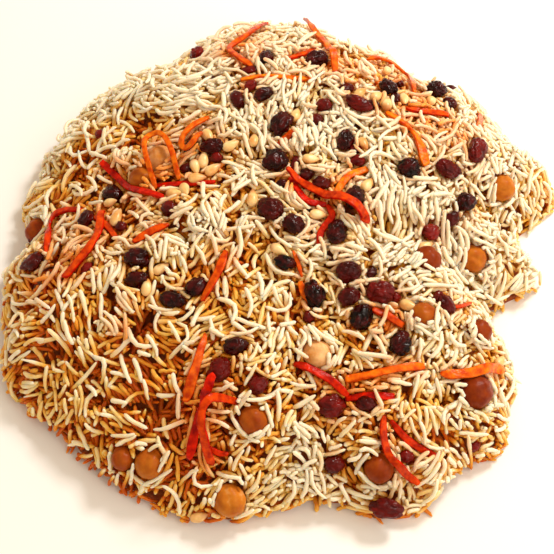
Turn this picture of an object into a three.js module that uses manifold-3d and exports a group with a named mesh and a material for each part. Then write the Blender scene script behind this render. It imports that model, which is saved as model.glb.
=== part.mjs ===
// Kabuli pulao: a heap of long-grain rice dressed with raisins, carrot strips, chickpeas and pine nuts.
// Millimetres, +Z up. The heap rests on z = 0 and its outline is centred on the origin.
import * as THREE from "three";
import { mergeVertices } from "three/addons/utils/BufferGeometryUtils.js";
import { ConvexHull } from "three/addons/math/ConvexHull.js";
import { ImprovedNoise } from "three/addons/math/ImprovedNoise.js";
import Module from "manifold-3d";

const wasm = await Module();
wasm.setup();

// The heap of rice
const HEAP_HEIGHT = 58;
const RIM_HEIGHT = 5;
const RIM_UNDERCUT = 1.5;
const RIM_STEP = 9;
const RIM_RAGGEDNESS = 1.6;
const MEAN_RADIUS = 127;
const FRONT_FULLNESS = 2.3;
const BACK_FULLNESS = 3.5;
const DOME_POWER = 0.85;
const ROUND_SHARE = 0.8;
const MOUND_FADE = 3;
const EDGE_MARGIN = 3;
const LOWEST_SURFACE = 2;
const UNDERSIDE_CENTRE = { x: 17, y: -22 };

// The uneven edge, seen from the summit: direction in degrees from +X, then distance
const HEAP_RIM = [
  [3, 122], [8, 131], [14, 130], [19, 120], [30, 118], [38, 120], [46, 107], [56, 109],
  [66, 111], [76, 112], [85, 123], [93, 120], [102, 122], [112, 119], [130, 116], [137, 123],
  [150, 122], [164, 125], [170, 123], [175, 131], [181, 124], [187, 122], [193, 136], [201, 139],
  [209, 146], [216, 152], [225, 147], [236, 149], [248, 152], [258, 152], [268, 142], [278, 141],
  [286, 151], [294, 150], [300, 144], [307, 147], [313, 139], [320, 128], [327, 109], [331, 102],
  [337, 106], [342, 116], [346, 119], [351, 110], [356, 108],
];

// Mounds and hollows where the rice was piled: place from the summit, rise and spread
const MOUNDS = [
  { x: -48, y: 38, rise: 4, spread: 17 },
  { x: -14, y: 42, rise: 4, spread: 17 },
  { x: 33, y: 32, rise: 4, spread: 10 },
  { x: 72, y: 4, rise: 4, spread: 20 },
  { x: -106, y: 30, rise: 4, spread: 13 },
  { x: -78, y: 2, rise: -4, spread: 16 },
  { x: -100, y: -62, rise: 4, spread: 18 },
  { x: -58, y: -92, rise: 3, spread: 20 },
  { x: -14, y: -112, rise: 3, spread: 16 },
  { x: 20, y: -66, rise: -3, spread: 18 },
  { x: 52, y: -104, rise: 4, spread: 18 },
  { x: 84, y: -84, rise: 3, spread: 14 },
];

// Rice grains show as bumps of their size all over the heap
const RICE_REACH = 160;
const GRAIN_LENGTH = 11;
const GRAIN_SPACING = 5.3;
const GRAIN_TRIES = 12000;
const GRAIN_RISE = 1.9;
const GRAIN_TIP = 0.75;
const GRAIN_UNEVENNESS = 1.6;
const GRAIN_LOW_SHARE = 0.35;
const GRAIN_STRAY = 1.3;
const VALLEY_SPACING = 4.9;
const VALLEY_CLEARANCE = 3.3;
const VALLEY_DEPTHS = [0.9, 2.1];
const VALLEY_JITTER = 1.5;
const CLUMP_SIZE = 38;
const CLUMP_LAYER = 4.7;
const RIM_CLEARANCE = 4.2;
const STEEPEST_NORMAL = 0.6;

// Toppings
const GAP = 0.35;
const RAISIN_THICKNESS = 0.82;
const RAISIN_WRINKLE = 0.22;
const WRINKLE_FREQUENCY = 2.3;
const RAISIN_SINK = 0.12;
const CHICKPEA_SINK = 0.5;
const BEAK_SIZE = 0.17;
const BEAK_POWER = 6;
const CLEFT_DEPTH = 0.1;
const CLEFT_WIDTH = 0.3;
const STRIP_THICKNESS = 1.7;
const STRIP_STEP = 5;
const STRIP_END_WIDTH = 0.65;
const STRIP_LIFT = 0.4;
const BURIED_STEP = 7.4;
const BURIED_LIFT = 0.2;
const NUT_LENGTH = 7.9;
const NUT_WIDTH = 4.1;
const NUT_TAPER = 0.42;
const NUT_SINK = 0.1;

// The view that the photo pixels below are read in: 554 pixels square, from the front and above
const VIEW_PIXELS = 554;
const VIEW_WIDTH = 246;
const VIEW_DISTANCE = 560;
const VIEW_ELEVATION = THREE.MathUtils.degToRad(57);
const VIEW_TARGET = new THREE.Vector3(-6, -40, 22);

// Chickpeas: photo pixel of the middle, diameter, and the photo angle of the beak
const CHICKPEAS = [
  { pixel: [161, 158], size: 12, turn: 200 },
  { pixel: [38, 231], size: 12, turn: 120 },
  { pixel: [502, 187], size: 12, turn: 210 },
  { pixel: [427, 259], size: 12, turn: 40 },
  { pixel: [473, 258], size: 12, turn: 150 },
  { pixel: [150, 463], size: 12.5, turn: 80 },
  { pixel: [253, 418], size: 12, turn: 300 },
  { pixel: [230, 500], size: 13, turn: 110 },
  { pixel: [475, 391], size: 14, turn: 20 },
  { pixel: [319, 353], size: 11.5, turn: 160 },
  { pixel: [379, 468], size: 12, turn: 60 },
];

// Chickpeas that are almost hidden, part of the heap's own surface
const SMALL_CHICKPEAS = [
  { pixel: [423, 314], size: 10, turn: 0 },
  { pixel: [478, 331], size: 10, turn: 0 },
  { pixel: [124, 457], size: 9.5, turn: 0 },
  { pixel: [142, 179], size: 10, turn: 0 },
];

// Raisins: photo pixel of the middle, length, width, and the photo angle of the long side
const RAISINS = [
  { pixel: [200, 54], length: 11, width: 8, turn: -20 },
  { pixel: [266, 57], length: 11, width: 7, turn: 75 },
  { pixel: [316, 58], length: 12, width: 10, turn: 0 },
  { pixel: [281, 123], length: 14, width: 9.5, turn: 55 },
  { pixel: [213, 145], length: 11, width: 8, turn: 5 },
  { pixel: [358, 102], length: 14, width: 8, turn: -15 },
  { pixel: [387, 87], length: 12, width: 8.5, turn: -40 },
  { pixel: [434, 89], length: 12, width: 9.5, turn: 35 },
  { pixel: [346, 138], length: 11, width: 8, turn: 80 },
  { pixel: [407, 166], length: 11.5, width: 9.5, turn: 5 },
  { pixel: [446, 166], length: 13.5, width: 8.5, turn: -25 },
  { pixel: [475, 149], length: 14.5, width: 9, turn: 80 },
  { pixel: [463, 201], length: 11, width: 9.5, turn: 45 },
  { pixel: [277, 159], length: 13, width: 11.5, turn: 20 },
  { pixel: [271, 207], length: 12.5, width: 10.5, turn: -25 },
  { pixel: [354, 195], length: 11, width: 9.5, turn: 60 },
  { pixel: [336, 230], length: 13, width: 9, turn: 80 },
  { pixel: [348, 268], length: 11, width: 9.5, turn: 10 },
  { pixel: [315, 291], length: 12.5, width: 9, turn: -70 },
  { pixel: [379, 290], length: 12, width: 10, turn: -10 },
  { pixel: [361, 315], length: 12, width: 10, turn: 70 },
  { pixel: [399, 341], length: 12, width: 9.5, turn: 60 },
  { pixel: [138, 256], length: 13, width: 9, turn: 0 },
  { pixel: [174, 297], length: 12, width: 8, turn: -10 },
  { pixel: [219, 366], length: 11.5, width: 10, turn: 45 },
  { pixel: [332, 401], length: 12.5, width: 9, turn: 10 },
  { pixel: [387, 503], length: 14, width: 9, turn: 5 },
];

// Smaller or half-hidden raisins, part of the heap's own surface
const SMALL_RAISINS = [
  { pixel: [263, 94], length: 9.5, width: 7, turn: 30 },
  { pixel: [237, 99], length: 10, width: 6, turn: -75 },
  { pixel: [325, 105], length: 8, width: 7, turn: 0 },
  { pixel: [448, 104], length: 8, width: 7, turn: 20 },
  { pixel: [451, 217], length: 8.5, width: 6.5, turn: 60 },
  { pixel: [429, 231], length: 9, width: 8, turn: 0 },
  { pixel: [293, 223], length: 10, width: 8.5, turn: -20 },
  { pixel: [321, 183], length: 8.5, width: 7, turn: 10 },
  { pixel: [285, 261], length: 10, width: 6.5, turn: -15 },
  { pixel: [349, 296], length: 10, width: 8, turn: 20 },
  { pixel: [445, 304], length: 10, width: 7, turn: -60 },
  { pixel: [137, 278], length: 11, width: 7, turn: 5 },
  { pixel: [196, 286], length: 10, width: 8.5, turn: 30 },
  { pixel: [236, 345], length: 11, width: 8, turn: 0 },
  { pixel: [258, 383], length: 9, width: 8, turn: 60 },
  { pixel: [366, 402], length: 9, width: 6.5, turn: 0 },
  { pixel: [334, 461], length: 9, width: 8, turn: 10 },
  { pixel: [114, 193], length: 11, width: 8.5, turn: -30 },
  { pixel: [88, 219], length: 10, width: 7, turn: 60 },
  { pixel: [34, 262], length: 13, width: 8, turn: 25 },
  { pixel: [170, 208], length: 7, width: 6.5, turn: 0 },
];

// Carrot strips: photo pixels that the middle line passes, width at its first and last end, and the
// height of its free arch
const CARROT_STRIPS = [
  { pixels: [[268, 25], [250, 36], [234, 47], [228, 52], [240, 60], [254, 66]], widths: [2.7, 2.7], arch: 2 },
  { pixels: [[241, 79], [265, 75], [290, 78], [312, 79]], widths: [2.4, 2.4], arch: 0 },
  { pixels: [[305, 17], [316, 36], [328, 50], [335, 71]], widths: [3, 3.3], arch: 2 },
  { pixels: [[368, 58], [390, 64], [405, 74], [414, 92]], widths: [2.6, 2.6], arch: 0 },
  { pixels: [[406, 108], [427, 113], [448, 116]], widths: [2.3, 2.7], arch: 0 },
  { pixels: [[386, 112], [401, 121], [413, 130], [421, 147], [425, 166]], widths: [2.4, 4.2], arch: 0 },
  {
    pixels: [[208, 117], [188, 136], [180, 150], [187, 158], [196, 150], [201, 132]],
    widths: [2.4, 2.4],
    arch: 5,
  },
  {
    pixels: [[156, 186], [147, 164], [147, 147], [155, 139], [165, 144], [173, 158], [179, 178]],
    widths: [2.4, 2.4],
    arch: 4,
  },
  { pixels: [[102, 163], [118, 177], [134, 191], [163, 196]], widths: [3.2, 2.8], arch: 0 },
  { pixels: [[85, 210], [62, 213], [52, 219], [49, 236], [47, 254]], widths: [2.5, 3.2], arch: 1 },
  { pixels: [[101, 211], [99, 234], [84, 257], [65, 277]], widths: [3.4, 3.6], arch: 2 },
  { pixels: [[134, 242], [150, 231], [169, 224]], widths: [3.2, 2.8], arch: 0 },
  { pixels: [[226, 251], [218, 275], [202, 300]], widths: [3.2, 3.2], arch: 2 },
  { pixels: [[288, 174], [308, 186], [330, 199], [352, 210], [366, 219]], widths: [2.6, 5.2], arch: 1 },
  { pixels: [[206, 333], [199, 360], [186, 402]], widths: [2.8, 4.8], arch: 2 },
  { pixels: [[214, 383], [203, 408], [195, 434], [190, 460]], widths: [3.8, 3.8], arch: 0 },
  { pixels: [[235, 400], [213, 408], [202, 422], [205, 446], [212, 465]], widths: [3.2, 3.8], arch: 3 },
  { pixels: [[295, 362], [318, 373], [336, 384], [347, 398]], widths: [3.3, 3.3], arch: 1 },
  { pixels: [[346, 380], [372, 374], [398, 368], [424, 366]], widths: [3.3, 3.3], arch: 1 },
  { pixels: [[441, 373], [470, 375], [503, 371]], widths: [4.2, 4.2], arch: 0 },
  { pixels: [[384, 415], [383, 438], [392, 466], [418, 484]], widths: [2.8, 3.5], arch: 0 },
];

// Short strips that are half buried in the heap's own surface
const BURIED_STRIPS = [
  { pixels: [[367, 169], [348, 177], [336, 193]], widths: [3.2, 4], arch: 0 },
  { pixels: [[327, 205], [332, 216], [322, 230], [318, 244]], widths: [3, 3.4], arch: 0 },
  { pixels: [[300, 282], [304, 293], [310, 303]], widths: [3, 3], arch: 0 },
  { pixels: [[372, 309], [388, 316], [403, 326]], widths: [3, 3], arch: 0 },
  { pixels: [[391, 421], [409, 441], [443, 461]], widths: [2.4, 3], arch: 0 },
  { pixels: [[277, 147], [285, 139], [294, 130]], widths: [2.8, 2.8], arch: 0 },
];

// Pine nuts: photo pixel of the middle and the photo angle of the long side
const PINE_NUTS = [
  { pixel: [209, 136], turn: -60 }, { pixel: [231, 145], turn: 20 }, { pixel: [254, 140], turn: 80 },
  { pixel: [204, 159], turn: 80 }, { pixel: [196, 167], turn: -75 }, { pixel: [214, 169], turn: 35 },
  { pixel: [198, 178], turn: 10 }, { pixel: [186, 190], turn: -65 }, { pixel: [175, 194], turn: 0 },
  { pixel: [253, 198], turn: 85 }, { pixel: [112, 203], turn: 15 }, { pixel: [118, 217], turn: 60 },
  { pixel: [162, 268], turn: 30 }, { pixel: [147, 286], turn: 85 }, { pixel: [386, 71], turn: 80 },
  { pixel: [360, 93], turn: 25 }, { pixel: [376, 97], turn: 30 }, { pixel: [386, 104], turn: 80 },
  { pixel: [403, 100], turn: -80 }, { pixel: [363, 144], turn: -65 }, { pixel: [296, 115], turn: 70 },
  { pixel: [311, 159], turn: 0 }, { pixel: [318, 214], turn: 0 }, { pixel: [424, 245], turn: 30 },
  { pixel: [279, 249], turn: -30 }, { pixel: [367, 184], turn: 50 }, { pixel: [409, 305], turn: -20 },
  { pixel: [200, 514], turn: 10 }, { pixel: [497, 361], turn: 60 }, { pixel: [430, 101], turn: 60 },
];

// Colours
const RICE_COLOUR = 0xe9cf9b;
const RAISIN_COLOUR = 0x3a0a0e;
const CARROT_COLOUR = 0xea4a12;
const CHICKPEA_COLOUR = 0xb9743a;

const SEED = 20614;
const noise = new ImprovedNoise();

function seededRandom(seed) {
  let state = seed;
  return () => {
    state = (state + 0x6d2b79f5) | 0;
    let mixed = Math.imul(state ^ (state >>> 15), state | 1);
    mixed ^= mixed + Math.imul(mixed ^ (mixed >>> 7), mixed | 61);
    return ((mixed ^ (mixed >>> 14)) >>> 0) / 4294967296;
  };
}

// The heap's outline as one closed curve
const rimCurve = new THREE.CatmullRomCurve3(
  HEAP_RIM.map(([degrees, distance]) => {
    const angle = THREE.MathUtils.degToRad(degrees);
    return new THREE.Vector3(distance * Math.cos(angle), distance * Math.sin(angle), 0);
  }),
  true,
  "centripetal",
);
const rimSamples = rimCurve.getSpacedPoints(900).slice(0, -1);
const rimByAngle = rimSamples
  .map((point) => ({ angle: Math.atan2(point.y, point.x), radius: Math.hypot(point.x, point.y) }))
  .sort((a, b) => a.angle - b.angle);

function rimRadius(angle) {
  const next = rimByAngle.findIndex((sample) => sample.angle > angle);
  const after = rimByAngle[Math.max(next, 0)];
  const before = rimByAngle[(Math.max(next, 0) + rimByAngle.length - 1) % rimByAngle.length];
  const span = THREE.MathUtils.euclideanModulo(after.angle - before.angle, 2 * Math.PI);
  const part = THREE.MathUtils.euclideanModulo(angle - before.angle, 2 * Math.PI);
  return THREE.MathUtils.lerp(before.radius, after.radius, part / span);
}

// The smooth form of the heap: a dome that is fuller behind, with mounds and hollows on it
function heapHeight(x, y) {
  const angle = Math.atan2(y, x);
  const distance = Math.hypot(x, y);
  const rim = rimRadius(angle);
  const outward = THREE.MathUtils.smoothstep(distance, 0, ROUND_SHARE * rim);
  const rounded = THREE.MathUtils.lerp(MEAN_RADIUS, rim, outward);
  const reach = Math.min(1, distance / rounded);
  const back = Math.max(0, Math.sin(angle));
  const fullness = THREE.MathUtils.lerp(FRONT_FULLNESS, BACK_FULLNESS, back);
  const dome = Math.pow(1 - Math.pow(reach, fullness), DOME_POWER);
  const relief = MOUNDS.reduce((sum, mound) => {
    const away = ((x - mound.x) ** 2 + (y - mound.y) ** 2) / (2 * mound.spread ** 2);
    return sum + mound.rise * Math.exp(-away);
  }, 0);
  return RIM_HEIGHT + (HEAP_HEIGHT - RIM_HEIGHT) * dome + relief * Math.min(1, MOUND_FADE * dome);
}

function heapNormal(x, y) {
  const step = 3;
  const slopeX = (heapHeight(x + step, y) - heapHeight(x - step, y)) / (2 * step);
  const slopeY = (heapHeight(x, y + step) - heapHeight(x, y - step)) / (2 * step);
  return new THREE.Vector3(-slopeX, -slopeY, 1).normalize();
}

// Where the line of sight through a photo pixel meets the heap
const viewForward = new THREE.Vector3(0, Math.cos(VIEW_ELEVATION), -Math.sin(VIEW_ELEVATION));
const viewUp = new THREE.Vector3(0, Math.sin(VIEW_ELEVATION), Math.cos(VIEW_ELEVATION));
const viewEye = VIEW_TARGET.clone().addScaledVector(viewForward, -VIEW_DISTANCE);
const viewFocal = (VIEW_DISTANCE / VIEW_WIDTH) * VIEW_PIXELS;

function onHeap([px, py], lift = 0) {
  const step = 0.25;
  const highest = HEAP_HEIGHT + 20;
  const sight = viewForward.clone().multiplyScalar(viewFocal).addScaledVector(viewUp, VIEW_PIXELS / 2 - py);
  sight.x += px - VIEW_PIXELS / 2;
  sight.divideScalar(-sight.z);
  let nearest = { clearance: Infinity, point: null };
  for (let drop = viewEye.z - highest; drop < viewEye.z; drop += step) {
    const point = viewEye.clone().addScaledVector(sight, drop);
    const inside = Math.hypot(point.x, point.y) < rimRadius(Math.atan2(point.y, point.x)) - EDGE_MARGIN;
    const clearance = inside ? point.z - heapHeight(point.x, point.y) - lift : Infinity;
    if (clearance < nearest.clearance) nearest = { clearance, point };
    if (clearance <= 0) break;
  }
  const { x, y } = nearest.point;
  return new THREE.Vector3(x, y, heapHeight(x, y));
}

// The place of a piece that lies on the heap, its long side turned as the photo shows it
function axesOnHeap(pixel, turn, lift) {
  const angle = THREE.MathUtils.degToRad(turn);
  const reachInPixels = 5;
  const aside = reachInPixels * Math.cos(angle);
  const above = reachInPixels * Math.sin(angle);
  const here = onHeap(pixel, lift);
  const there = onHeap([pixel[0] + aside, pixel[1] - above], lift);
  const up = heapNormal(here.x, here.y);
  const along = there.sub(here).projectOnPlane(up).normalize();
  const across = up.clone().cross(along);
  const middle = here.addScaledVector(up, lift);
  return new THREE.Matrix4().makeBasis(along, across, up).setPosition(middle);
}

// Solids and meshes
function solidOf(geometry) {
  const bare = new THREE.BufferGeometry();
  bare.setAttribute("position", geometry.getAttribute("position").clone());
  if (geometry.index) bare.setIndex(geometry.index.clone());
  const merged = mergeVertices(bare, 1e-4);
  return new wasm.Manifold(new wasm.Mesh({
    numProp: 3,
    vertProperties: new Float32Array(merged.getAttribute("position").array),
    triVerts: new Uint32Array(merged.index.array),
  }));
}

function geometryOf(solid) {
  const { vertProperties, triVerts } = solid.getMesh();
  const geometry = new THREE.BufferGeometry();
  geometry.setAttribute("position", new THREE.BufferAttribute(new Float32Array(vertProperties), 3));
  geometry.setIndex(new THREE.BufferAttribute(new Uint32Array(triVerts), 1));
  return geometry;
}

// Without the scraps and sealed hollows that joining and cutting leave
function mainBody(solid) {
  return solid.decompose().reduce((largest, piece) => (piece.volume() > largest.volume() ? piece : largest));
}

function geometryFrom(points, faces) {
  const geometry = new THREE.BufferGeometry();
  const numbers = points.flatMap(({ x, y, z }) => [x, y, z]);
  geometry.setAttribute("position", new THREE.Float32BufferAttribute(numbers, 3));
  geometry.setIndex(faces.flat());
  return geometry;
}

// A wrinkled raisin, as an uneven ball squeezed to its length, width and thickness
function raisinGeometry({ pixel, length, width, turn }, ball, grow = 0) {
  const half = new THREE.Vector3(length / 2, width / 2, (width * RAISIN_THICKNESS) / 2);
  const placed = axesOnHeap(pixel, turn, half.z * (1 - 2 * RAISIN_SINK));
  const geometry = mergeVertices(bareBall(ball));
  const position = geometry.getAttribute("position");
  const vertex = new THREE.Vector3();
  for (let i = 0; i < position.count; i += 1) {
    vertex.fromBufferAttribute(position, i);
    const spot = vertex.clone().multiplyScalar(WRINKLE_FREQUENCY);
    const wrinkle = noise.noise(spot.x + pixel[0], spot.y + pixel[1], spot.z);
    vertex.multiplyScalar(1 + RAISIN_WRINKLE * wrinkle).multiply(half.clone().addScalar(grow));
    position.setXYZ(i, vertex.x, vertex.y, vertex.z);
  }
  return geometry.applyMatrix4(placed);
}

function bareBall(ball) {
  const bare = ball.clone();
  bare.deleteAttribute("normal");
  bare.deleteAttribute("uv");
  return bare;
}

const roundBall = new THREE.IcosahedronGeometry(1, 1);
const plainBall = new THREE.SphereGeometry(1, 6, 4).rotateX(Math.PI / 2);

// A chickpea: a ball with a blunt beak and a cleft beside it
function chickpeaGeometry({ pixel, size, turn }, ball, grow = 0) {
  const placed = axesOnHeap(pixel, turn, (size / 2) * (1 - 2 * CHICKPEA_SINK));
  const geometry = mergeVertices(bareBall(ball));
  const position = geometry.getAttribute("position");
  const vertex = new THREE.Vector3();
  for (let i = 0; i < position.count; i += 1) {
    vertex.fromBufferAttribute(position, i);
    const beak = BEAK_SIZE * Math.max(0, vertex.x) ** BEAK_POWER;
    const cleft = CLEFT_DEPTH * Math.exp(-((vertex.y / CLEFT_WIDTH) ** 2)) * Math.max(0, vertex.z);
    vertex.multiplyScalar((1 + beak - cleft) * (size / 2) + grow);
    position.setXYZ(i, vertex.x, vertex.y, vertex.z);
  }
  return geometry.applyMatrix4(placed);
}

// A pine nut: a drop that narrows to one end
function nutGeometry({ pixel, turn }) {
  const placed = axesOnHeap(pixel, turn, GRAIN_RISE + (NUT_WIDTH / 2) * (1 - 2 * NUT_SINK));
  const geometry = mergeVertices(bareBall(plainBall).rotateY(Math.PI / 2));
  const position = geometry.getAttribute("position");
  for (let i = 0; i < position.count; i += 1) {
    const slim = (NUT_WIDTH / 2) * (1 - NUT_TAPER * position.getX(i));
    position.setXYZ(i, position.getX(i) * (NUT_LENGTH / 2), position.getY(i) * slim, position.getZ(i) * slim);
  }
  return geometry.applyMatrix4(placed);
}

// The middle line of a strip, laid over the rice and over what already lies there
function stripLine({ pixels, widths, arch }, step, bedded, below) {
  const anchors = pixels.map((pixel) => onHeap(pixel, bedded + STRIP_THICKNESS / 2).setZ(0));
  const plan = new THREE.CatmullRomCurve3(anchors, false, "centripetal");
  const length = plan.getLength();
  const steps = Math.max(4, Math.round(length / step));
  const fine = 3;
  const samples = plan.getSpacedPoints(steps * fine);
  const reach = Math.max(...widths) / 2 + GAP;
  const rest = samples.map((point) => (
    Math.max(heapHeight(point.x, point.y) + bedded, topBelow(point, reach, below))
  ));
  const line = [];
  for (let i = 0; i <= steps; i += 1) {
    const highest = Math.max(...rest.slice(Math.max(0, (i - 1) * fine + 1), (i + 1) * fine));
    const { x, y } = samples[i * fine];
    const lift = STRIP_THICKNESS / 2 + arch * Math.sin((Math.PI * i) / steps);
    line.push(new THREE.Vector3(x, y, highest + lift));
  }
  return line;
}

// The highest point of the pieces under a strip, across its width
function topBelow(point, reach, below) {
  const offsets = [[0, 0], [reach, 0], [-reach, 0], [0, reach], [0, -reach]];
  const down = new THREE.Vector3(0, 0, -1);
  return Math.max(...offsets.map(([dx, dy]) => {
    const from = new THREE.Vector3(point.x + dx, point.y + dy, 2 * HEAP_HEIGHT);
    const hits = new THREE.Raycaster(from, down).intersectObjects(below, false);
    return hits.length > 0 ? hits[0].point.z + GAP : -Infinity;
  }));
}

// A carrot strip: a flat ribbon along its line, narrower at both ends
function stripGeometry(line, widths, grow = 0) {
  const points = [];
  const last = line.length - 1;
  line.forEach((point, i) => {
    const tangent = line[Math.min(i + 1, last)].clone().sub(line[Math.max(i - 1, 0)]).normalize();
    const across = heapNormal(point.x, point.y).cross(tangent).normalize();
    const up = tangent.clone().cross(across);
    const taper = i === 0 || i === last ? STRIP_END_WIDTH : 1;
    const halfWidth = (THREE.MathUtils.lerp(...widths, i / last) / 2) * taper + grow;
    const halfThickness = STRIP_THICKNESS / 2 + grow;
    const end = i === 0 ? -grow : i === last ? grow : 0;
    [[-1, -1], [1, -1], [1, 1], [-1, 1]].forEach(([side, face]) => {
      points.push(point.clone()
        .addScaledVector(across, side * halfWidth)
        .addScaledVector(up, face * halfThickness)
        .addScaledVector(tangent, end));
    });
  });
  const faces = [[0, 3, 2], [0, 2, 1]];
  for (let i = 0; i < last; i += 1) {
    for (let k = 0; k < 4; k += 1) {
      const a = 4 * i + k;
      const b = 4 * i + ((k + 1) % 4);
      faces.push([a, b, b + 4], [a, b + 4, a + 4]);
    }
  }
  const tip = 4 * last;
  faces.push([tip, tip + 1, tip + 2], [tip, tip + 2, tip + 3]);
  return geometryFrom(points, faces);
}

// Grains lie along the flow of their clump, with some straying
function grainDirection(x, y, random) {
  const flow = noise.noise(x / CLUMP_SIZE, y / CLUMP_SIZE, CLUMP_LAYER) * 2 * Math.PI;
  return flow + (random() - 0.5) * GRAIN_STRAY;
}

// Ridge points along each grain and valley points between the grains
function ricePoints() {
  const random = seededRandom(SEED);
  const clearOf = (x, y, others, gap) => others.every((o) => (o.x - x) ** 2 + (o.y - y) ** 2 > gap ** 2);
  const withinRim = (x, y) => Math.hypot(x, y) < rimRadius(Math.atan2(y, x)) - RIM_CLEARANCE
    && clearOf(x, y, rimSamples, RIM_CLEARANCE);
  const ridges = [];
  for (let i = 0; i < GRAIN_TRIES; i += 1) {
    const x = (2 * random() - 1) * RICE_REACH;
    const y = (2 * random() - 1) * RICE_REACH;
    const direction = grainDirection(x, y, random);
    const tip = 0.4 * GRAIN_LENGTH;
    const grain = [-1, 0, 1].map((end) => ({
      x: x + end * tip * Math.cos(direction),
      y: y + end * tip * Math.sin(direction),
      rise: GRAIN_RISE * (end === 0 ? 1 : GRAIN_TIP),
    }));
    if (grain.every((p) => withinRim(p.x, p.y) && clearOf(p.x, p.y, ridges, GRAIN_SPACING))) {
      const stray = (random() - GRAIN_LOW_SHARE) * GRAIN_UNEVENNESS;
      const tilt = (random() - 0.5) * GRAIN_UNEVENNESS;
      grain.forEach((p, k) => ridges.push({ x: p.x, y: p.y, rise: p.rise + stray + (k - 1) * tilt }));
    }
  }
  const valleys = [];
  const step = VALLEY_SPACING / 2;
  for (let row = -RICE_REACH; row < RICE_REACH; row += step) {
    for (let column = -RICE_REACH; column < RICE_REACH; column += step) {
      const x = column + random() * VALLEY_JITTER;
      const y = row + random() * VALLEY_JITTER;
      const apart = clearOf(x, y, ridges, VALLEY_CLEARANCE) && clearOf(x, y, valleys, VALLEY_SPACING);
      if (withinRim(x, y) && apart) {
        valleys.push({ x, y, rise: -THREE.MathUtils.lerp(...VALLEY_DEPTHS, random()) });
      }
    }
  }
  return [...ridges, ...valleys];
}

function isInside(x, y, outline) {
  return outline.reduce((inside, a, i) => {
    const b = outline[(i + 1) % outline.length];
    const crossed = a.y > y !== b.y > y && x < a.x + ((y - a.y) * (b.x - a.x)) / (b.y - a.y);
    return crossed ? !inside : inside;
  }, false);
}

// Triangles between points on the plan, each point joined to its nearest neighbours within the outline:
// the underside of the hull of the points once they are lifted onto a bowl
function planTriangles(points, outline) {
  const bowl = 100;
  const lifted = points.map((p) => new THREE.Vector3(p.x, p.y, (p.x ** 2 + p.y ** 2) / bowl));
  const number = new Map(lifted.map((vertex, i) => [vertex, i]));
  return new ConvexHull().setFromPoints(lifted).faces
    .filter((face) => face.normal.z < 0)
    .map((face) => [face.edge.prev, face.edge, face.edge.next].map((edge) => number.get(edge.head().point)))
    .map(([a, b, c]) => [a, c, b])
    .filter((corners) => {
      const x = corners.reduce((sum, i) => sum + points[i].x, 0) / 3;
      const y = corners.reduce((sum, i) => sum + points[i].y, 0) / 3;
      return isInside(x, y, outline);
    });
}

// The rice as one closed solid, pressed down into a bed under each topping
function heapSolid(beds) {
  const rimCount = Math.round(rimCurve.getLength() / RIM_STEP);
  const random = seededRandom(SEED + 1);
  const rim = rimCurve.getSpacedPoints(rimCount).slice(0, -1).map(({ x, y }) => {
    const ragged = 1 + (RIM_RAGGEDNESS * (2 * random() - 1)) / Math.hypot(x, y);
    return { x: x * ragged, y: y * ragged, rise: RIM_RAGGEDNESS * (random() - 0.5) };
  });
  const surface = [...rim, ...ricePoints()];
  const faces = planTriangles(surface, rim);
  const upward = new THREE.Vector3(0, 0, 1);
  const points = surface.map(({ x, y, rise }, i) => {
    const lifted = rise / Math.max(STEEPEST_NORMAL, heapNormal(x, y).z);
    const top = i < rimCount ? RIM_HEIGHT + rise : heapHeight(x, y) + lifted;
    const from = new THREE.Vector3(x, y, -1);
    const hits = new THREE.Raycaster(from, upward).intersectObjects(beds, false);
    const bed = hits.length > 0 ? hits[0].point.z - GAP : Infinity;
    return new THREE.Vector3(x, y, Math.max(LOWEST_SURFACE, Math.min(top, bed)));
  });
  const foot = points.length;
  rim.forEach(({ x, y }) => {
    const inward = 1 - RIM_UNDERCUT / Math.hypot(x, y);
    points.push(new THREE.Vector3(x * inward, y * inward, 0));
  });
  const centre = points.length;
  points.push(new THREE.Vector3(UNDERSIDE_CENTRE.x, UNDERSIDE_CENTRE.y, 0));
  for (let i = 0; i < rimCount; i += 1) {
    const j = (i + 1) % rimCount;
    faces.push([i, foot + i, foot + j], [i, foot + j, j], [centre, foot + j, foot + i]);
  }
  return solidOf(geometryFrom(points, faces));
}

// Every topping that is a piece of its own, cut back where it meets an earlier one
const toppings = [];

function addTopping(name, colour, roughness, shape) {
  const grown = solidOf(shape(GAP));
  let solid = solidOf(shape(0));
  toppings.forEach((other) => {
    if (!solid.intersect(other.grown).isEmpty()) solid = mainBody(solid.subtract(other.grown));
  });
  const geometry = geometryOf(solid);
  const look = { color: colour, roughness, metalness: 0, side: THREE.DoubleSide };
  const material = new THREE.MeshStandardMaterial(look);
  const bed = new THREE.Mesh(geometryOf(grown), material);
  toppings.push({ name, solid, grown, geometry, material, bed });
}

function numbered(kind, index) {
  return `${kind}_${String(index + 1).padStart(2, "0")}`;
}

CHICKPEAS.forEach((pea, i) => {
  addTopping(numbered("chickpea", i), CHICKPEA_COLOUR, 0.5, (grow) => chickpeaGeometry(pea, roundBall, grow));
});
RAISINS.forEach((raisin, i) => {
  addTopping(numbered("raisin", i), RAISIN_COLOUR, 0.3, (grow) => raisinGeometry(raisin, roundBall, grow));
});
CARROT_STRIPS.forEach((strip, i) => {
  const line = stripLine(strip, STRIP_STEP, STRIP_LIFT, toppings.map(({ bed }) => bed));
  const shape = (grow) => stripGeometry(line, strip.widths, grow);
  addTopping(numbered("carrot_strip", i), CARROT_COLOUR, 0.4, shape);
});

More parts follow.
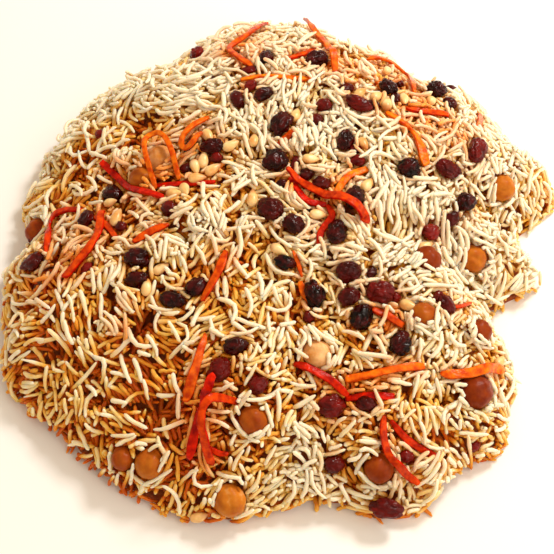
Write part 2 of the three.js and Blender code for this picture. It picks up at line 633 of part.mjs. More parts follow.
// Small toppings are joined to the rice where they stay clear of the larger ones
const beds = toppings.map(({ bed }) => bed);
const allGrown = toppings.reduce((sum, { grown }) => sum.add(grown), toppings[0].grown);
let heap = heapSolid(beds).subtract(allGrown);
[
  ...SMALL_CHICKPEAS.map((pea) => chickpeaGeometry(pea, plainBall)),
  ...SMALL_RAISINS.map((raisin) => raisinGeometry(raisin, plainBall)),
  ...BURIED_STRIPS.map((strip) => (
    stripGeometry(stripLine(strip, BURIED_STEP, BURIED_LIFT, []), strip.widths)
  )),
  ...PINE_NUTS.map((nut) => nutGeometry(nut)),
].map(solidOf).forEach((small) => {
  if (small.intersect(allGrown).isEmpty()) heap = heap.add(small);
});
heap = mainBody(heap);

// The scene graph: the heap and its toppings, moved so that the outline is centred on the origin
const pulao = new THREE.Group();
const riceMaterial = new THREE.MeshStandardMaterial({ color: RICE_COLOUR, roughness: 0.6, metalness: 0 });
const riceHeap = new THREE.Mesh(geometryOf(heap), riceMaterial);
riceHeap.name = "rice_heap";
pulao.add(riceHeap);
toppings.forEach(({ name, geometry, material }) => {
  geometry.computeBoundingBox();
  const middle = geometry.boundingBox.getCenter(new THREE.Vector3());
  const mesh = new THREE.Mesh(geometry.translate(-middle.x, -middle.y, -middle.z), material);
  mesh.name = name;
  mesh.position.copy(middle);
  pulao.add(mesh);
});
const extent = new THREE.Box3().setFromObject(pulao);
const footprint = extent.getCenter(new THREE.Vector3());
pulao.position.set(-footprint.x, -footprint.y, -extent.min.z);

export default pulao;
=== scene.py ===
"""Kabuli pulao: loose rice, raisins, carrot strips, chickpeas and pine nuts around the CAD model.

Lengths are in millimetres until a mesh is made, which is in metres.
"""

import heapq
import math

import bmesh
import bpy
import numpy as np
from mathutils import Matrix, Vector, noise
from mathutils.bvhtree import BVHTree


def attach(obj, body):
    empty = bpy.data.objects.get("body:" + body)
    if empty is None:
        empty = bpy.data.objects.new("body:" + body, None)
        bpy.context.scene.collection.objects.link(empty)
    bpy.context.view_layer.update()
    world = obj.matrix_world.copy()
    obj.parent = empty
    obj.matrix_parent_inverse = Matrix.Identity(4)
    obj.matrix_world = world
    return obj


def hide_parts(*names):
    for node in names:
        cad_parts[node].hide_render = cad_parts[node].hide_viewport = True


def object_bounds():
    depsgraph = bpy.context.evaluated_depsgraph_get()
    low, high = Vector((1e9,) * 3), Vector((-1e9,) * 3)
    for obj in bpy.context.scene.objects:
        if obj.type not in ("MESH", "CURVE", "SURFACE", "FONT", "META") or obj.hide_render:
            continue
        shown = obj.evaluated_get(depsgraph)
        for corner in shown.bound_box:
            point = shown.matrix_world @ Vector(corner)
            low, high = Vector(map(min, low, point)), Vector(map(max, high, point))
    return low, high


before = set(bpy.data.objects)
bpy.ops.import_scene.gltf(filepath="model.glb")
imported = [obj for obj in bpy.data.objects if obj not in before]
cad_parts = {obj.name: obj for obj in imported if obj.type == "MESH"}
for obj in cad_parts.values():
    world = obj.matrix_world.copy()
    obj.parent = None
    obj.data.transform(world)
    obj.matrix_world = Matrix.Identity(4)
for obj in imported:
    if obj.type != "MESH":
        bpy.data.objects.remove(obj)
cad_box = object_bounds()

MM = 0.001
SEED = 614

# The view that the photo pixels in this file are read in
PHOTO_PIXELS = 554
VIEW_WIDTH = 246.0
VIEW_DISTANCE = 560.0
VIEW_ELEVATION = math.radians(57)
VIEW_FORWARD = np.array([0, math.cos(VIEW_ELEVATION), -math.sin(VIEW_ELEVATION)])
VIEW_TARGET = Vector((-5.3, -27.1, 22.0))
SENSOR_WIDTH = 36.0

# The plan grid that heights are kept on, and the smoothing of the CAD heap's own bumps
CELL = 0.5
PLAN_MARGIN = 8.0
SMOOTHING = 4.5

# Loose rice
BED_DEPTH = 10.5
GRAIN_LENGTH = 11.1
GRAIN_LENGTH_SPREAD = 2.2
GRAIN_RADIUS = 0.96
GRAIN_SINK = 0.8
BROKEN_SHARE = 0.15
TOP_GRAINS = 420
HIGHEST_GRAIN = 6.0
HIDING_DEPTH = 3.0
LEAST_SHOWING = 0.14
HILL_PITCH = 21.0
HILL_RISE = 4.2
KNOLL_PITCH = 9.0
KNOLL_RISE = 2.6
CREVICE_PITCH = 15.0
CREVICE_DEPTH = 7.0
CREVICE_SHARE = 0.26
GRAIN_LENGTHS = (7.0, 17.0)
INSIDE_SHARE = 0.86
FLOW_PITCH = 26
COMB_PULL = 6
TRIES = 9
MOST_MISSES = 260
LOOK_AGAIN = 60
FEWEST_CELLS = 40
LEVEL_SLACK = 3.0
BUNDLE_SHARE = 0.55
BUNDLE_SLACK = 3.2
TOP_TRIES = 4
TOP_STRAY = 1.5
TOP_BROKEN = 0.05
TOP_HEIGHT = 4.6
TOP_TILT = 0.5

# One round of laying a row: how far under the target it stops, how far grains stray, how steep they may lie
ROUNDS = ((-4.0, 1.2, 1.2), (-2.2, 0.9, 1.0), (-0.9, 0.7, 0.8), (-0.2, 0.7, 0.7))

# Toppings
STRIP_THICKNESS = 1.4
EDGE_REDNESS = 0.3
NUT_LENGTH = 8.2
NUT_WIDTH = 4.4
CLEARANCE = 0.15
BOX_MARGIN = 0.05


# Camera
def make_camera():
    data = bpy.data.cameras.new("camera")
    data.sensor_width = SENSOR_WIDTH
    data.lens = SENSOR_WIDTH * VIEW_DISTANCE / VIEW_WIDTH
    data.clip_start = 0.01
    data.clip_end = 20.0
    camera = bpy.data.objects.new("camera", data)
    camera.location = (VIEW_TARGET - Vector(VIEW_FORWARD) * VIEW_DISTANCE) * MM
    camera.rotation_euler = (math.pi / 2 - VIEW_ELEVATION, 0, 0)
    bpy.context.scene.collection.objects.link(camera)
    bpy.context.scene.camera = camera


# Studio: a pale floor, a soft key from the right and behind, and a weak fill from the right and in front
WORLD_COLOUR = (1.0, 0.82, 0.6, 1)
WORLD_STRENGTH = 0.68
FLOOR_COLOUR = (0.93, 0.93, 0.93, 1)
FLOOR_HALF = 3.0


def make_studio():
    scene = bpy.context.scene
    scene.view_settings.view_transform = "Standard"
    world = bpy.data.worlds.new("studio")
    world.use_nodes = True
    background = world.node_tree.nodes["Background"]
    background.inputs["Color"].default_value = WORLD_COLOUR
    background.inputs["Strength"].default_value = WORLD_STRENGTH
    scene.world = world
    add_area_light("key", Vector((430, 380, 740)), 0.22, 6.4, (1.0, 0.95, 0.87))
    add_area_light("fill", Vector((560, -330, 600)), 0.9, 3.0, (1.0, 0.9, 0.8))
    corners = [(x * FLOOR_HALF, y * FLOOR_HALF, 0) for x, y in ((-1, -1), (1, -1), (1, 1), (-1, 1))]
    mesh = bpy.data.meshes.new("floor")
    mesh.from_pydata(corners, [], [(0, 1, 2, 3)])
    floor = bpy.data.objects.new("floor", mesh)
    scene.collection.objects.link(floor)
    material, tree, shader = node_material("floor")
    set_shader(tree, shader, Base_Color=FLOOR_COLOUR, Roughness=0.9)
    mesh.materials.append(material)


def add_area_light(name, place, size, power, colour):
    data = bpy.data.lights.new(name, "AREA")
    data.shape = "DISK"
    data.size = size
    data.energy = power
    data.color = colour
    light = bpy.data.objects.new(name, data)
    light.location = place * MM
    light.rotation_euler = (Vector((0, 0, 20)) - place).to_track_quat("-Z", "Y").to_euler()
    bpy.context.scene.collection.objects.link(light)


# Plan grid
plan_low = np.array(cad_box[0])[:2] / MM - PLAN_MARGIN
plan_size = np.array(cad_box[1])[:2] / MM + PLAN_MARGIN - plan_low
plan_cells = np.ceil(plan_size / CELL).astype(int)
plan_shape = (plan_cells[1], plan_cells[0])


def cell_at(x, y):
    """Row and column of the cell that holds each point."""
    column = np.clip(((x - plan_low[0]) / CELL).astype(int), 0, plan_shape[1] - 1)
    row = np.clip(((y - plan_low[1]) / CELL).astype(int), 0, plan_shape[0] - 1)
    return row, column


def cell_centres():
    y, x = np.mgrid[0:plan_shape[0], 0:plan_shape[1]]
    return plan_low[0] + (x + 0.5) * CELL, plan_low[1] + (y + 0.5) * CELL


def unit(vectors):
    return vectors / np.maximum(np.linalg.norm(vectors, axis=-1, keepdims=True), 1e-6)


def way_along(line):
    """Length of the line up to each of its points."""
    return np.concatenate([[0], np.cumsum(np.linalg.norm(np.diff(line, axis=0), axis=1))])


def soft_window(width):
    """A bell over the cells up to three widths to each side."""
    offset = np.arange(-3 * width, 3 * width + CELL, CELL)
    return np.exp(-0.5 * (offset / width) ** 2)


def smooth_field(rng, pitch):
    """Smooth random numbers from 0 to 1 over the plan, with features of about the given pitch."""
    coarse_shape = np.ceil(np.array(plan_shape) * CELL / pitch).astype(int) + 2
    coarse = rng.random(coarse_shape)
    rows, columns = np.mgrid[0:plan_shape[0], 0:plan_shape[1]] * CELL / pitch
    row, column = rows.astype(int), columns.astype(int)
    down, right = rows - row, columns - column
    down, right = down * down * (3 - 2 * down), right * right * (3 - 2 * right)
    upper = coarse[row, column] * (1 - right) + coarse[row, column + 1] * right
    lower = coarse[row + 1, column] * (1 - right) + coarse[row + 1, column + 1] * right
    return upper * (1 - down) + lower * down


def tree_of(meshes):
    """One search tree over meshes given as (vertices in mm, faces), and the mesh that owns each face."""
    vertices, faces, owners, start = [], [], [], 0
    for owner, (points, corners) in enumerate(meshes):
        vertices.append(points)
        faces.append(corners + start)
        owners.append(np.full(len(corners), owner))
        start += len(points)
    tree = BVHTree.FromPolygons(np.concatenate(vertices).tolist(), np.concatenate(faces).tolist())
    return tree, np.concatenate(owners)


def node_mesh(name):
    """Vertices in mm and triangles of a CAD node."""
    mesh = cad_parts[name].data
    mesh.calc_loop_triangles()
    points = np.zeros(3 * len(mesh.vertices))
    corners = np.zeros(3 * len(mesh.loop_triangles), int)
    mesh.vertices.foreach_get("co", points)
    mesh.loop_triangles.foreach_get("vertices", corners)
    return points.reshape(-1, 3) / MM, corners.reshape(-1, 3)


# The heap's smooth form: a plane fitted round each cell to what shows of the CAD heap from above
def read_heap():
    names = ["rice_heap"] + sorted(set(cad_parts) - {"rice_heap"})
    tree, owners = tree_of([node_mesh(name) for name in names])
    sky = cad_box[1].z / MM + 10
    down = Vector((0, 0, -1))
    seen = np.zeros(plan_shape)
    covered = np.zeros(plan_shape)
    height = np.zeros(plan_shape)
    x, y = cell_centres()
    for index in np.ndindex(plan_shape):
        place, _, face, _ = tree.ray_cast(Vector((x[index], y[index], sky)), down)
        if face is not None:
            covered[index] = 1
            if owners[face] == 0:
                seen[index] = 1
                height[index] = place.z
    return covered > 0, *fitted_planes(seen, height)


def fitted_planes(weight, height):
    """Height and slopes of the plane fitted round each cell, with a soft window."""
    reach = int(2.5 * SMOOTHING / CELL)
    offset = np.arange(-reach, reach + 1) * CELL
    window = np.exp(-0.5 * (offset / SMOOTHING) ** 2)

    def moment(field, power_x, power_y):
        return spread(spread(field, window * offset ** power_x, 1), window * offset ** power_y, 0)

    w, wx, wy = moment(weight, 0, 0), moment(weight, 1, 0), moment(weight, 0, 1)
    wxx, wxy, wyy = moment(weight, 2, 0), moment(weight, 1, 1), moment(weight, 0, 2)
    product = weight * height
    matrix = np.stack([w, wx, wy, wx, wxx, wxy, wy, wxy, wyy], -1).reshape(*plan_shape, 3, 3)
    matrix += np.eye(3) * 1e-3
    right = np.stack([moment(product, 0, 0), moment(product, 1, 0), moment(product, 0, 1)], -1)
    fitted = np.linalg.solve(matrix, right[..., None])[..., 0]
    return fitted[..., 0], fitted[..., 1], fitted[..., 2]


def spread(field, kernel, axis):
    """The field's sum under the kernel along one axis."""
    reach = len(kernel) // 2
    padding = [(0, 0), (0, 0)]
    padding[axis] = (reach, reach)
    padded = np.pad(field, padding)
    length = field.shape[axis]
    total = np.zeros_like(field)
    for i, weight in enumerate(kernel):
        window = padded[i:i + length] if axis == 0 else padded[:, i:i + length]
        total += weight * window
    return total


inside, heap_height, slope_x, slope_y = read_heap()
slope_x = np.clip(slope_x, -2.2, 2.2)
slope_y = np.clip(slope_y, -2.2, 2.2)
steepness = np.sqrt(1 + slope_x ** 2 + slope_y ** 2)


# Where the line of sight through a photo pixel meets the heap
def on_heap(pixel, lift=0.0):
    focal = VIEW_DISTANCE / VIEW_WIDTH * PHOTO_PIXELS
    up = np.array([0, math.sin(VIEW_ELEVATION), math.cos(VIEW_ELEVATION)])
    eye = np.array(VIEW_TARGET) - VIEW_DISTANCE * VIEW_FORWARD
    sight = focal * VIEW_FORWARD + (PHOTO_PIXELS / 2 - pixel[1]) * up
    sight[0] += pixel[0] - PHOTO_PIXELS / 2
    drop = np.arange(eye[2] - 80, eye[2], 0.2)
    points = eye + drop[:, None] * (sight / -sight[2])
    row, column = cell_at(points[:, 0], points[:, 1])
    clearance = np.where(inside[row, column], points[:, 2] - heap_height[row, column] - lift, 1e6)
    below = np.flatnonzero(clearance <= 0)
    best = below[0] if len(below) else int(np.argmin(clearance))
    return Vector((points[best, 0], points[best, 1], heap_height[row[best], column[best]]))


def bell_round(middle, radius):
    """A field over the plan that is 1 at a point and falls off softly round it."""
    x, y = cell_centres()
    return np.exp(-0.5 * ((x - middle.x) ** 2 + (y - middle.y) ** 2) / radius ** 2)


def outward_at(x, y):
    """Directions square to the heap at the points, longer where it is steeper."""
    row, column = cell_at(x, y)
    return np.stack([-slope_x[row, column], -slope_y[row, column], np.ones(len(row))], -1)


def heap_normal(point):
    row, column = cell_at(np.array(point[0]), np.array(point[1]))
    return Vector((-slope_x[row, column], -slope_y[row, column], 1)).normalized()


def axes_on_heap(pixel, turn, lift):
    """Middle, long direction and up of a piece that lies on the heap, its turn measured in the photo."""
    step = 6
    angle = math.radians(turn)
    here = on_heap(pixel, lift)
    there = on_heap((pixel[0] + step * math.cos(angle), pixel[1] - step * math.sin(angle)), lift)
    up = heap_normal(here)
    along = there - here
    along = (along - up * along.dot(up)).normalized()
    return here + up * lift, along, up


# Meshes
class Gathered:
    """Many closed shapes joined into one mesh, each with its own values for the material."""

    def __init__(self):
        self.shapes = []
        self.values = []

    def add(self, points, faces, **values):
        self.shapes.append((np.asarray(points, float), np.asarray(faces, int)))
        by_point = {k: np.broadcast_to(np.asarray(v, float), len(points)) for k, v in values.items()}
        self.values.append(by_point)

    def build(self, name, material):
        points, faces, start = [], [], 0
        for shape_points, shape_faces in self.shapes:
            points.append(shape_points)
            faces.append(shape_faces + start)
            start += len(shape_points)
        values = {k: np.concatenate([v[k] for v in self.values]) for k in self.values[0]}
        return mesh_object(name, np.concatenate(points), np.concatenate(faces), material, values)


def mesh_object(name, points, faces, material, values):
    """A smooth triangle mesh from arrays in mm, kept within the CAD model's box."""
    low, high = np.array(cad_box) / MM
    points = np.clip(points, low + BOX_MARGIN, high - BOX_MARGIN)
    mesh = bpy.data.meshes.new(name)
    mesh.vertices.add(len(points))
    mesh.vertices.foreach_set("co", (points * MM).astype(np.float32).ravel())
    mesh.loops.add(faces.size)
    mesh.loops.foreach_set("vertex_index", faces.astype(np.int32).ravel())
    mesh.polygons.add(len(faces))
    mesh.polygons.foreach_set("loop_start", np.arange(0, faces.size, 3, dtype=np.int32))
    mesh.update(calc_edges=True)
    mesh.shade_smooth()
    for key, numbers in values.items():
        attribute = mesh.attributes.new(key, "FLOAT", "POINT")
        attribute.data.foreach_set("value", numbers.astype(np.float32))
    mesh.materials.append(material)
    piece = bpy.data.objects.new(name, mesh)
    bpy.context.scene.collection.objects.link(piece)
    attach(piece, "root")
    return piece


def unit_ball(divisions):
    """Points and triangles of a ball made of six square patches."""
    shape = bmesh.new()
    bmesh.ops.create_cube(shape, size=2)
    bmesh.ops.subdivide_edges(shape, edges=shape.edges[:], cuts=divisions - 1, use_grid_fill=True)
    bmesh.ops.triangulate(shape, faces=shape.faces[:])
    shape.verts.index_update()
    points = np.array([v.co for v in shape.verts])
    faces = np.array([[v.index for v in f.verts] for f in shape.faces])
    shape.free()
    points = np.tan(points * math.pi / 4)
    return unit(points), faces


def placed(points, middle, along, up):
    """Points given along, across and up, moved to their place."""
    across = up.cross(along)
    return points @ np.array([along, across, up]) + np.array(middle)


def fitted_axes(name):
    """Middle and axes of a CAD topping, with its half sizes along them."""
    points, _ = node_mesh(name)
    points = np.unique(np.round(points, 3), axis=0)
    middle = (points.min(0) + points.max(0)) / 2
    up = np.array(heap_normal(middle))
    flat = points - middle
    flat = flat - np.outer(flat @ up, up)
    along = np.linalg.svd(flat, full_matrices=False)[2][0]
    across = np.cross(up, along)
    axes = (along, across, up)
    low = np.array([(points @ axis).min() for axis in axes])
    high = np.array([(points @ axis).max() for axis in axes])
    middle = sum(mid * axis for mid, axis in zip((high + low) / 2, axes))
    return Vector(middle), Vector(along), Vector(up), (high - low) / 2


# Raisins
def raisin_points(ball, half, seed):
    """A ball squeezed to the raisin's half sizes, with folds along it and fine wrinkles."""
    stretch = Vector((0.62, 1.15, 1.15))
    shift = Vector((seed * 3.7, seed * 1.9, seed * 5.3))
    points = np.empty_like(ball)
    for i, direction in enumerate(ball):
        spot = Vector(direction * np.array(stretch)) + shift
        fold = abs(noise.noise(spot * 1.7))
        wrinkle = abs(noise.noise(spot * 4.2))
        lump = noise.noise(spot * 1.1 + Vector((9, 0, 0)))
        size = 0.84 + 0.24 * lump + 0.9 * min(fold, 0.3) + 0.2 * min(wrinkle, 0.3)
        points[i] = direction * size
    return points / np.abs(points).max(0) * half


def make_raisins():
    gathered = Gathered()
    fine = unit_ball(12)
    plain = unit_ball(8)
    rng = np.random.default_rng(SEED + 1)
    for number, name in enumerate(kind_nodes("raisin")):
        middle, along, up, half = fitted_axes(name)
        points = raisin_points(fine[0], half, number)
        gathered.add(placed(points, middle, along, up), fine[1], redness=rng.random() ** 2)
    for number, (pixel, length, width, turn, redness) in enumerate(SMALL_RAISINS):
        half = np.array([length, width, 0.8 * width]) / 2
        middle, along, up = axes_on_heap(pixel, turn, 0.55 * half[2])
        points = raisin_points(plain[0], half, 100 + number)
        gathered.add(placed(points, middle, along, up), plain[1], redness=redness)
    return gathered


def kind_nodes(kind):
    return sorted(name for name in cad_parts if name.startswith(kind))


# Smaller or half-hidden raisins: photo pixel, length, width, photo angle of the long side, how red
SMALL_RAISINS = [
    ((263, 94), 9.5, 7, 30, 0.1), ((237, 99), 10, 6, -75, 0.3), ((325, 105), 8, 7, 0, 0.6),
    ((448, 104), 8, 7, 20, 0.2), ((451, 217), 8.5, 6.5, 60, 0.3), ((429, 231), 9, 8, 0, 0.9),
    ((293, 223), 10, 8.5, -20, 0.2), ((321, 183), 8.5, 7, 10, 0.4), ((285, 261), 10, 6.5, -15, 0.0),
    ((349, 296), 10, 8, 20, 0.3), ((445, 304), 10, 7, -60, 0.4), ((137, 278), 11, 7, 5, 0.1),
    ((196, 286), 10, 8.5, 30, 0.1), ((236, 345), 11, 8, 0, 0.1), ((258, 383), 9, 8, 60, 0.7),
    ((366, 402), 9, 6.5, 0, 0.3), ((334, 461), 9, 8, 10, 0.4), ((114, 193), 11, 8.5, -30, 0.1),
    ((88, 219), 10, 7, 60, 0.2), ((34, 262), 13, 8, 25, 0.4), ((170, 208), 7, 6.5, 0, 0.6),
    ((317, 119), 6, 5.5, 0, 0.5), ((346, 89), 8, 5.5, 10, 0.3), ((399, 84), 5.5, 4.5, 20, 0.3),
    ((373, 105), 7, 4.5, -10, 0.2), ((357, 160), 8, 5.5, 0, 0.9), ((307, 174), 7, 6, 20, 0.2),
    ((295, 162), 7.5, 4, 80, 0.7), ((101, 134), 5.5, 5, 40, 0.9), ((395, 297), 5.5, 5, 0, 0.8),
    ((438, 296), 6, 5, 60, 0.5), ((38, 236), 9, 7.5, 70, 0.5), ((251, 86), 6.5, 6, 20, 0.9),
    ((250, 70), 8.5, 4, 5, 0.7), ((395, 98), 8, 5, 80, 0.2), ((451, 88), 7.5, 6, 60, 0.3),
    ((355, 149), 6.5, 5, 10, 0.5), ((190, 146), 9, 4.5, 60, 0.0), ((283, 184), 7, 5, 10, 0.1),
    ((88, 268), 6, 5, 30, 0.8), ((122, 226), 6, 5, 0, 0.5), ((187, 168), 6, 5, 20, 0.3),
    ((217, 157), 7.5, 5, 0, 0.6), ((406, 455), 6.5, 5.5, 10, 0.8), ((309, 316), 6, 5, 40, 0.6),
    ((473, 445), 6, 5, 0, 0.9), ((371, 272), 6, 4.5, 30, 0.2), ((240, 420), 6, 4.5, 0, 0.8),
]


# Chickpeas
def chickpea_points(ball, radius, seed):
    """A ball with a blunt beak, a cleft beside it and a slightly creased skin."""
    points = np.empty_like(ball)
    for i, (x, y, z) in enumerate(ball):
        beak = 0.17 * max(0.0, x) ** 6
        cleft = 0.1 * math.exp(-((y / 0.22) ** 2)) * max(0.0, z + 0.35 * x)
        spot = Vector((x, y, z)) * 2.1 + Vector((seed, 2.0 * seed, 0))
        lump = 0.05 * noise.noise(spot)
        crease = 0.035 * abs(noise.noise(spot * 2.6))
        points[i] = np.array((x, y, z)) * (1 + beak - cleft + lump + crease)
    return points * radius


def make_chickpeas():
    gathered = Gathered()
    ball = unit_ball(12)
    rng = np.random.default_rng(SEED + 2)
    for number, name in enumerate(kind_nodes("chickpea")):
        points, _ = node_mesh(name)
        middle = Vector((points.min(0) + points.max(0)) / 2)
        away = points - np.array(middle)
        radius = float(np.median(np.linalg.norm(away, axis=1)))
        up = heap_normal(middle)
        beak = Vector(away[int(np.argmax(np.linalg.norm(away, axis=1)))])
        along = (beak - up * beak.dot(up)).normalized()
        shape = chickpea_points(ball[0], radius, number)
        gathered.add(placed(shape, middle, along, up), ball[1], tone=CHICKPEA_TONES[number])
    for number, (pixel, size, turn) in enumerate(SMALL_CHICKPEAS):
        middle, along, up = axes_on_heap(pixel, turn, 0.15 * size)
        shape = chickpea_points(ball[0], size / 2, 20 + number)
        gathered.add(placed(shape, middle, along, up), ball[1], tone=rng.uniform(0.3, 0.9))
    return gathered


# How brown the CAD chickpeas are, in their order
CHICKPEA_TONES = [0.2, 0.75, 0.35, 0.85, 0.4, 0.4, 0.6, 0.3, 0.9, 0.05, 0.75]

# Chickpeas that are almost hidden: photo pixel, diameter, photo angle of the beak
SMALL_CHICKPEAS = [
    ((423, 314), 10, 0), ((478, 331), 10, 40), ((124, 457), 9.5, 100), ((142, 179), 10, 30),
]


# Carrot strips
def ribbon(line, width, thickness, seed):
    """A flat strip with rounded edges along a line, uneven in width, slightly twisted, thin at its ends."""
    sides = 12
    line = np.asarray(line)
    tangent = unit(np.gradient(line, axis=0))
    across = unit(np.cross(outward_at(line[:, 0], line[:, 1]), tangent))
    up = np.cross(tangent, across)
    step = way_along(line)
    length = step[-1]
    uneven = np.array([noise.noise(Vector((s / 7, seed * 3.3, 0))) for s in step])
    rolled = np.array([noise.noise(Vector((s / 16, seed * 7.1, 5))) for s in step]) * 0.9
    from_end = np.minimum(step, length - step)
    blunt = 0.35 + 0.55 * (0.37 * seed % 1)
    taper = blunt + (1 - blunt) * np.clip(from_end / 4.0, 0, 1) ** 0.8
    widths = width[0] + (width[1] - width[0]) * step / length
    half_width = widths / 2 * taper * (1 + 0.22 * uneven)
    half_thick = thickness / 2 * (0.6 + 0.4 * taper) * (1 + 0.2 * uneven[::-1])
    angle = (np.arange(sides) + 0.5) * 2 * math.pi / sides
    flat = np.sign(np.cos(angle)) * np.abs(np.cos(angle)) ** 0.25
    tall = np.sign(np.sin(angle)) * np.abs(np.sin(angle)) ** 0.35
    side = across * np.cos(rolled)[:, None] + up * np.sin(rolled)[:, None]
    top = np.cross(tangent, side)
    rings = (line[:, None] + side[:, None] * (half_width[:, None] * flat)[..., None]
             + top[:, None] * (half_thick[:, None] * tall)[..., None])
    tips = [line[0] - tangent[0] * 0.3, line[-1] + tangent[-1] * 0.3]
    points = np.concatenate([rings.reshape(-1, 3), tips])
    edge = np.append(np.tile(np.abs(np.cos(angle)) ** 2, len(line)), [1.0, 1.0])
    return points, tube_faces(len(line), sides), edge


def tube_faces(rings, sides):
    """Triangles of a closed tube: its rings in order, then the first tip and the last one."""
    ring = np.arange(rings - 1)[:, None] * sides
    a = (ring + np.arange(sides)).ravel()
    b = (ring + (np.arange(sides) + 1) % sides).ravel()
    walls = np.concatenate([np.stack([a, b, b + sides], -1), np.stack([a, b + sides, a + sides], -1)])
    first, last = rings * sides, rings * sides + 1
    k = np.arange(sides)
    after = (k + 1) % sides
    start = np.stack([np.full(sides, first), after, k], -1)
    end = (rings - 1) * sides
    finish = np.stack([np.full(sides, last), end + k, end + after], -1)
    return np.concatenate([walls, start, finish])


def middle_line(name):
    """The middle line of a CAD strip, from the way along its surface from one end to the other."""
    points, faces = node_mesh(name)
    shape = bmesh.new()
    corners = [shape.verts.new(p) for p in points]
    for face in faces:
        shape.faces.new([corners[i] for i in face])
    bmesh.ops.remove_doubles(shape, verts=shape.verts[:], dist=0.01)
    bmesh.ops.subdivide_edges(shape, edges=shape.edges[:], cuts=3, use_grid_fill=True)
    shape.verts.index_update()
    places = np.array([v.co for v in shape.verts])
    links = [[(e.other_vert(v).index, e.calc_length()) for e in v.link_edges] for v in shape.verts]
    shape.free()
    one_end = int(np.argmax(ways_from(0, links)))
    way = ways_from(one_end, links)
    count = max(4, int(way.max() / 2.2))
    slice_of = np.minimum((way / way.max() * count).astype(int), count - 1)
    line = [places[slice_of == k].mean(0) for k in range(count) if np.any(slice_of == k)]
    line = np.array([places[one_end]] + line + [places[int(np.argmax(way))]])
    smooth = line.copy()
    smooth[1:-1] = 0.25 * line[:-2] + 0.5 * line[1:-1] + 0.25 * line[2:]
    return resampled(smooth, 0.8)


def ways_from(start, links):
    """Shortest way along the links from one vertex to every other."""
    ways = np.full(len(links), np.inf)
    ways[start] = 0
    queue = [(0.0, start)]
    while queue:
        way, here = heapq.heappop(queue)
        if way > ways[here]:
            continue
        for there, length in links[here]:
            if way + length < ways[there]:
                ways[there] = way + length
                heapq.heappush(queue, (way + length, there))
    return ways


def resampled(line, step):
    """A smooth curve through the points, in steps of about the given length."""
    line = np.asarray(line, float)
    ends = np.concatenate([[2 * line[0] - line[1]], line, [2 * line[-1] - line[-2]]])
    fine = []
    for k in range(1, len(ends) - 2):
        a, b, c, d = ends[k - 1:k + 3]
        t = np.linspace(0, 1, 12, endpoint=False)[:, None]
        fine.append(0.5 * (2 * b + (c - a) * t + (2 * a - 5 * b + 4 * c - d) * t ** 2
                           + (3 * b - a - 3 * c + d) * t ** 3))
    fine = np.concatenate(fine + [line[-1:]])
    way = way_along(fine)
    even = np.linspace(0, way[-1], max(5, int(way[-1] / step)))
    return np.stack([np.interp(even, way, fine[:, k]) for k in range(3)], -1)


def make_carrots():
    gathered = Gathered()
    rng = np.random.default_rng(SEED + 3)
    for number, name in enumerate(kind_nodes("carrot_strip")):
        start, widths, redness = CAD_STRIPS[number]
        line = middle_line(name)
        if np.linalg.norm(line[0] - on_heap(start)) > np.linalg.norm(line[-1] - on_heap(start)):
            line = line[::-1]
        points, faces, edge = ribbon(line, widths, STRIP_THICKNESS, number)
        gathered.add(points, faces, redness=redness + EDGE_REDNESS * edge)
    for number, (pixels, width, lift, redness) in enumerate(SMALL_STRIPS):
        line = [np.array(on_heap(pixel, lift)) + [0, 0, lift] for pixel in pixels]
        points, faces, edge = ribbon(resampled(line, 0.8), (width, width), 0.5 * width, 40 + number)
        gathered.add(points, faces, redness=redness + 0.1 * rng.random() + EDGE_REDNESS * edge)
    return gathered


# The strips that are CAD nodes, in their order: photo pixel of the first end, widths, how red
CAD_STRIPS = [
    ((268, 25), (2.7, 2.7), 0.5), ((241, 79), (2.4, 2.4), 0.1), ((305, 17), (3.0, 3.3), 0.35),
    ((368, 58), (2.6, 2.6), 0.3), ((406, 108), (2.3, 2.7), 0.7), ((386, 112), (2.4, 4.2), 0.2),
    ((208, 117), (2.4, 2.4), 0.3), ((156, 186), (2.4, 2.4), 0.25), ((102, 163), (3.2, 2.8), 1.0),
    ((85, 210), (2.5, 3.2), 0.85), ((101, 211), (3.4, 3.6), 0.75), ((134, 242), (3.2, 2.8), 0.7),
    ((226, 251), (3.2, 3.2), 0.6), ((288, 174), (2.6, 5.2), 0.8), ((206, 333), (2.8, 4.8), 0.5),
    ((214, 383), (3.8, 3.8), 1.0), ((235, 400), (3.2, 3.8), 0.8), ((295, 362), (3.3, 3.3), 0.95),
    ((346, 380), (3.3, 3.3), 0.35), ((441, 373), (4.2, 4.2), 0.25), ((384, 415), (2.8, 3.5), 0.8),
]

# Short strips, half buried: photo pixels along them, width, height of the middle over the rice, how red
SMALL_STRIPS = [
    (((367, 169), (348, 177), (336, 193)), 3.2, 0.9, 0.1),
    (((327, 205), (332, 216), (322, 230), (318, 244)), 3.0, 0.9, 0.9),
    (((300, 282), (304, 293), (310, 303)), 3.0, 0.9, 0.3),
    (((372, 309), (388, 316), (403, 326)), 3.0, 0.9, 0.6),
    (((391, 421), (409, 441), (443, 461)), 2.8, 0.9, 0.8),
    (((277, 147), (285, 139), (294, 130)), 2.8, 0.9, 0.6),
    (((287, 59), (303, 54), (319, 48)), 2.6, 0.9, 0.6),
    (((339, 45), (348, 44), (356, 47)), 2.6, 0.9, 0.7),
    (((95, 217), (107, 226), (117, 239)), 2.8, 0.9, 0.7),
    (((480, 114), (480, 122), (476, 131)), 3.0, 0.9, 0.2),
    (((155, 186), (178, 184), (198, 183), (215, 182)), 2.4, 0.6, 1.0),
    (((290, 178), (306, 200), (326, 205)), 2.6, 0.6, 1.0),
    (((293, 251), (298, 264), (302, 277)), 1.8, 0.6, 0.5),
    (((208, 447), (218, 453), (228, 454)), 2.4, 0.9, 0.9),
    (((346, 399), (370, 396), (394, 397)), 3.0, 0.7, 1.0),
    (((454, 307), (462, 306), (471, 303)), 1.8, 0.7, 0.7),
]


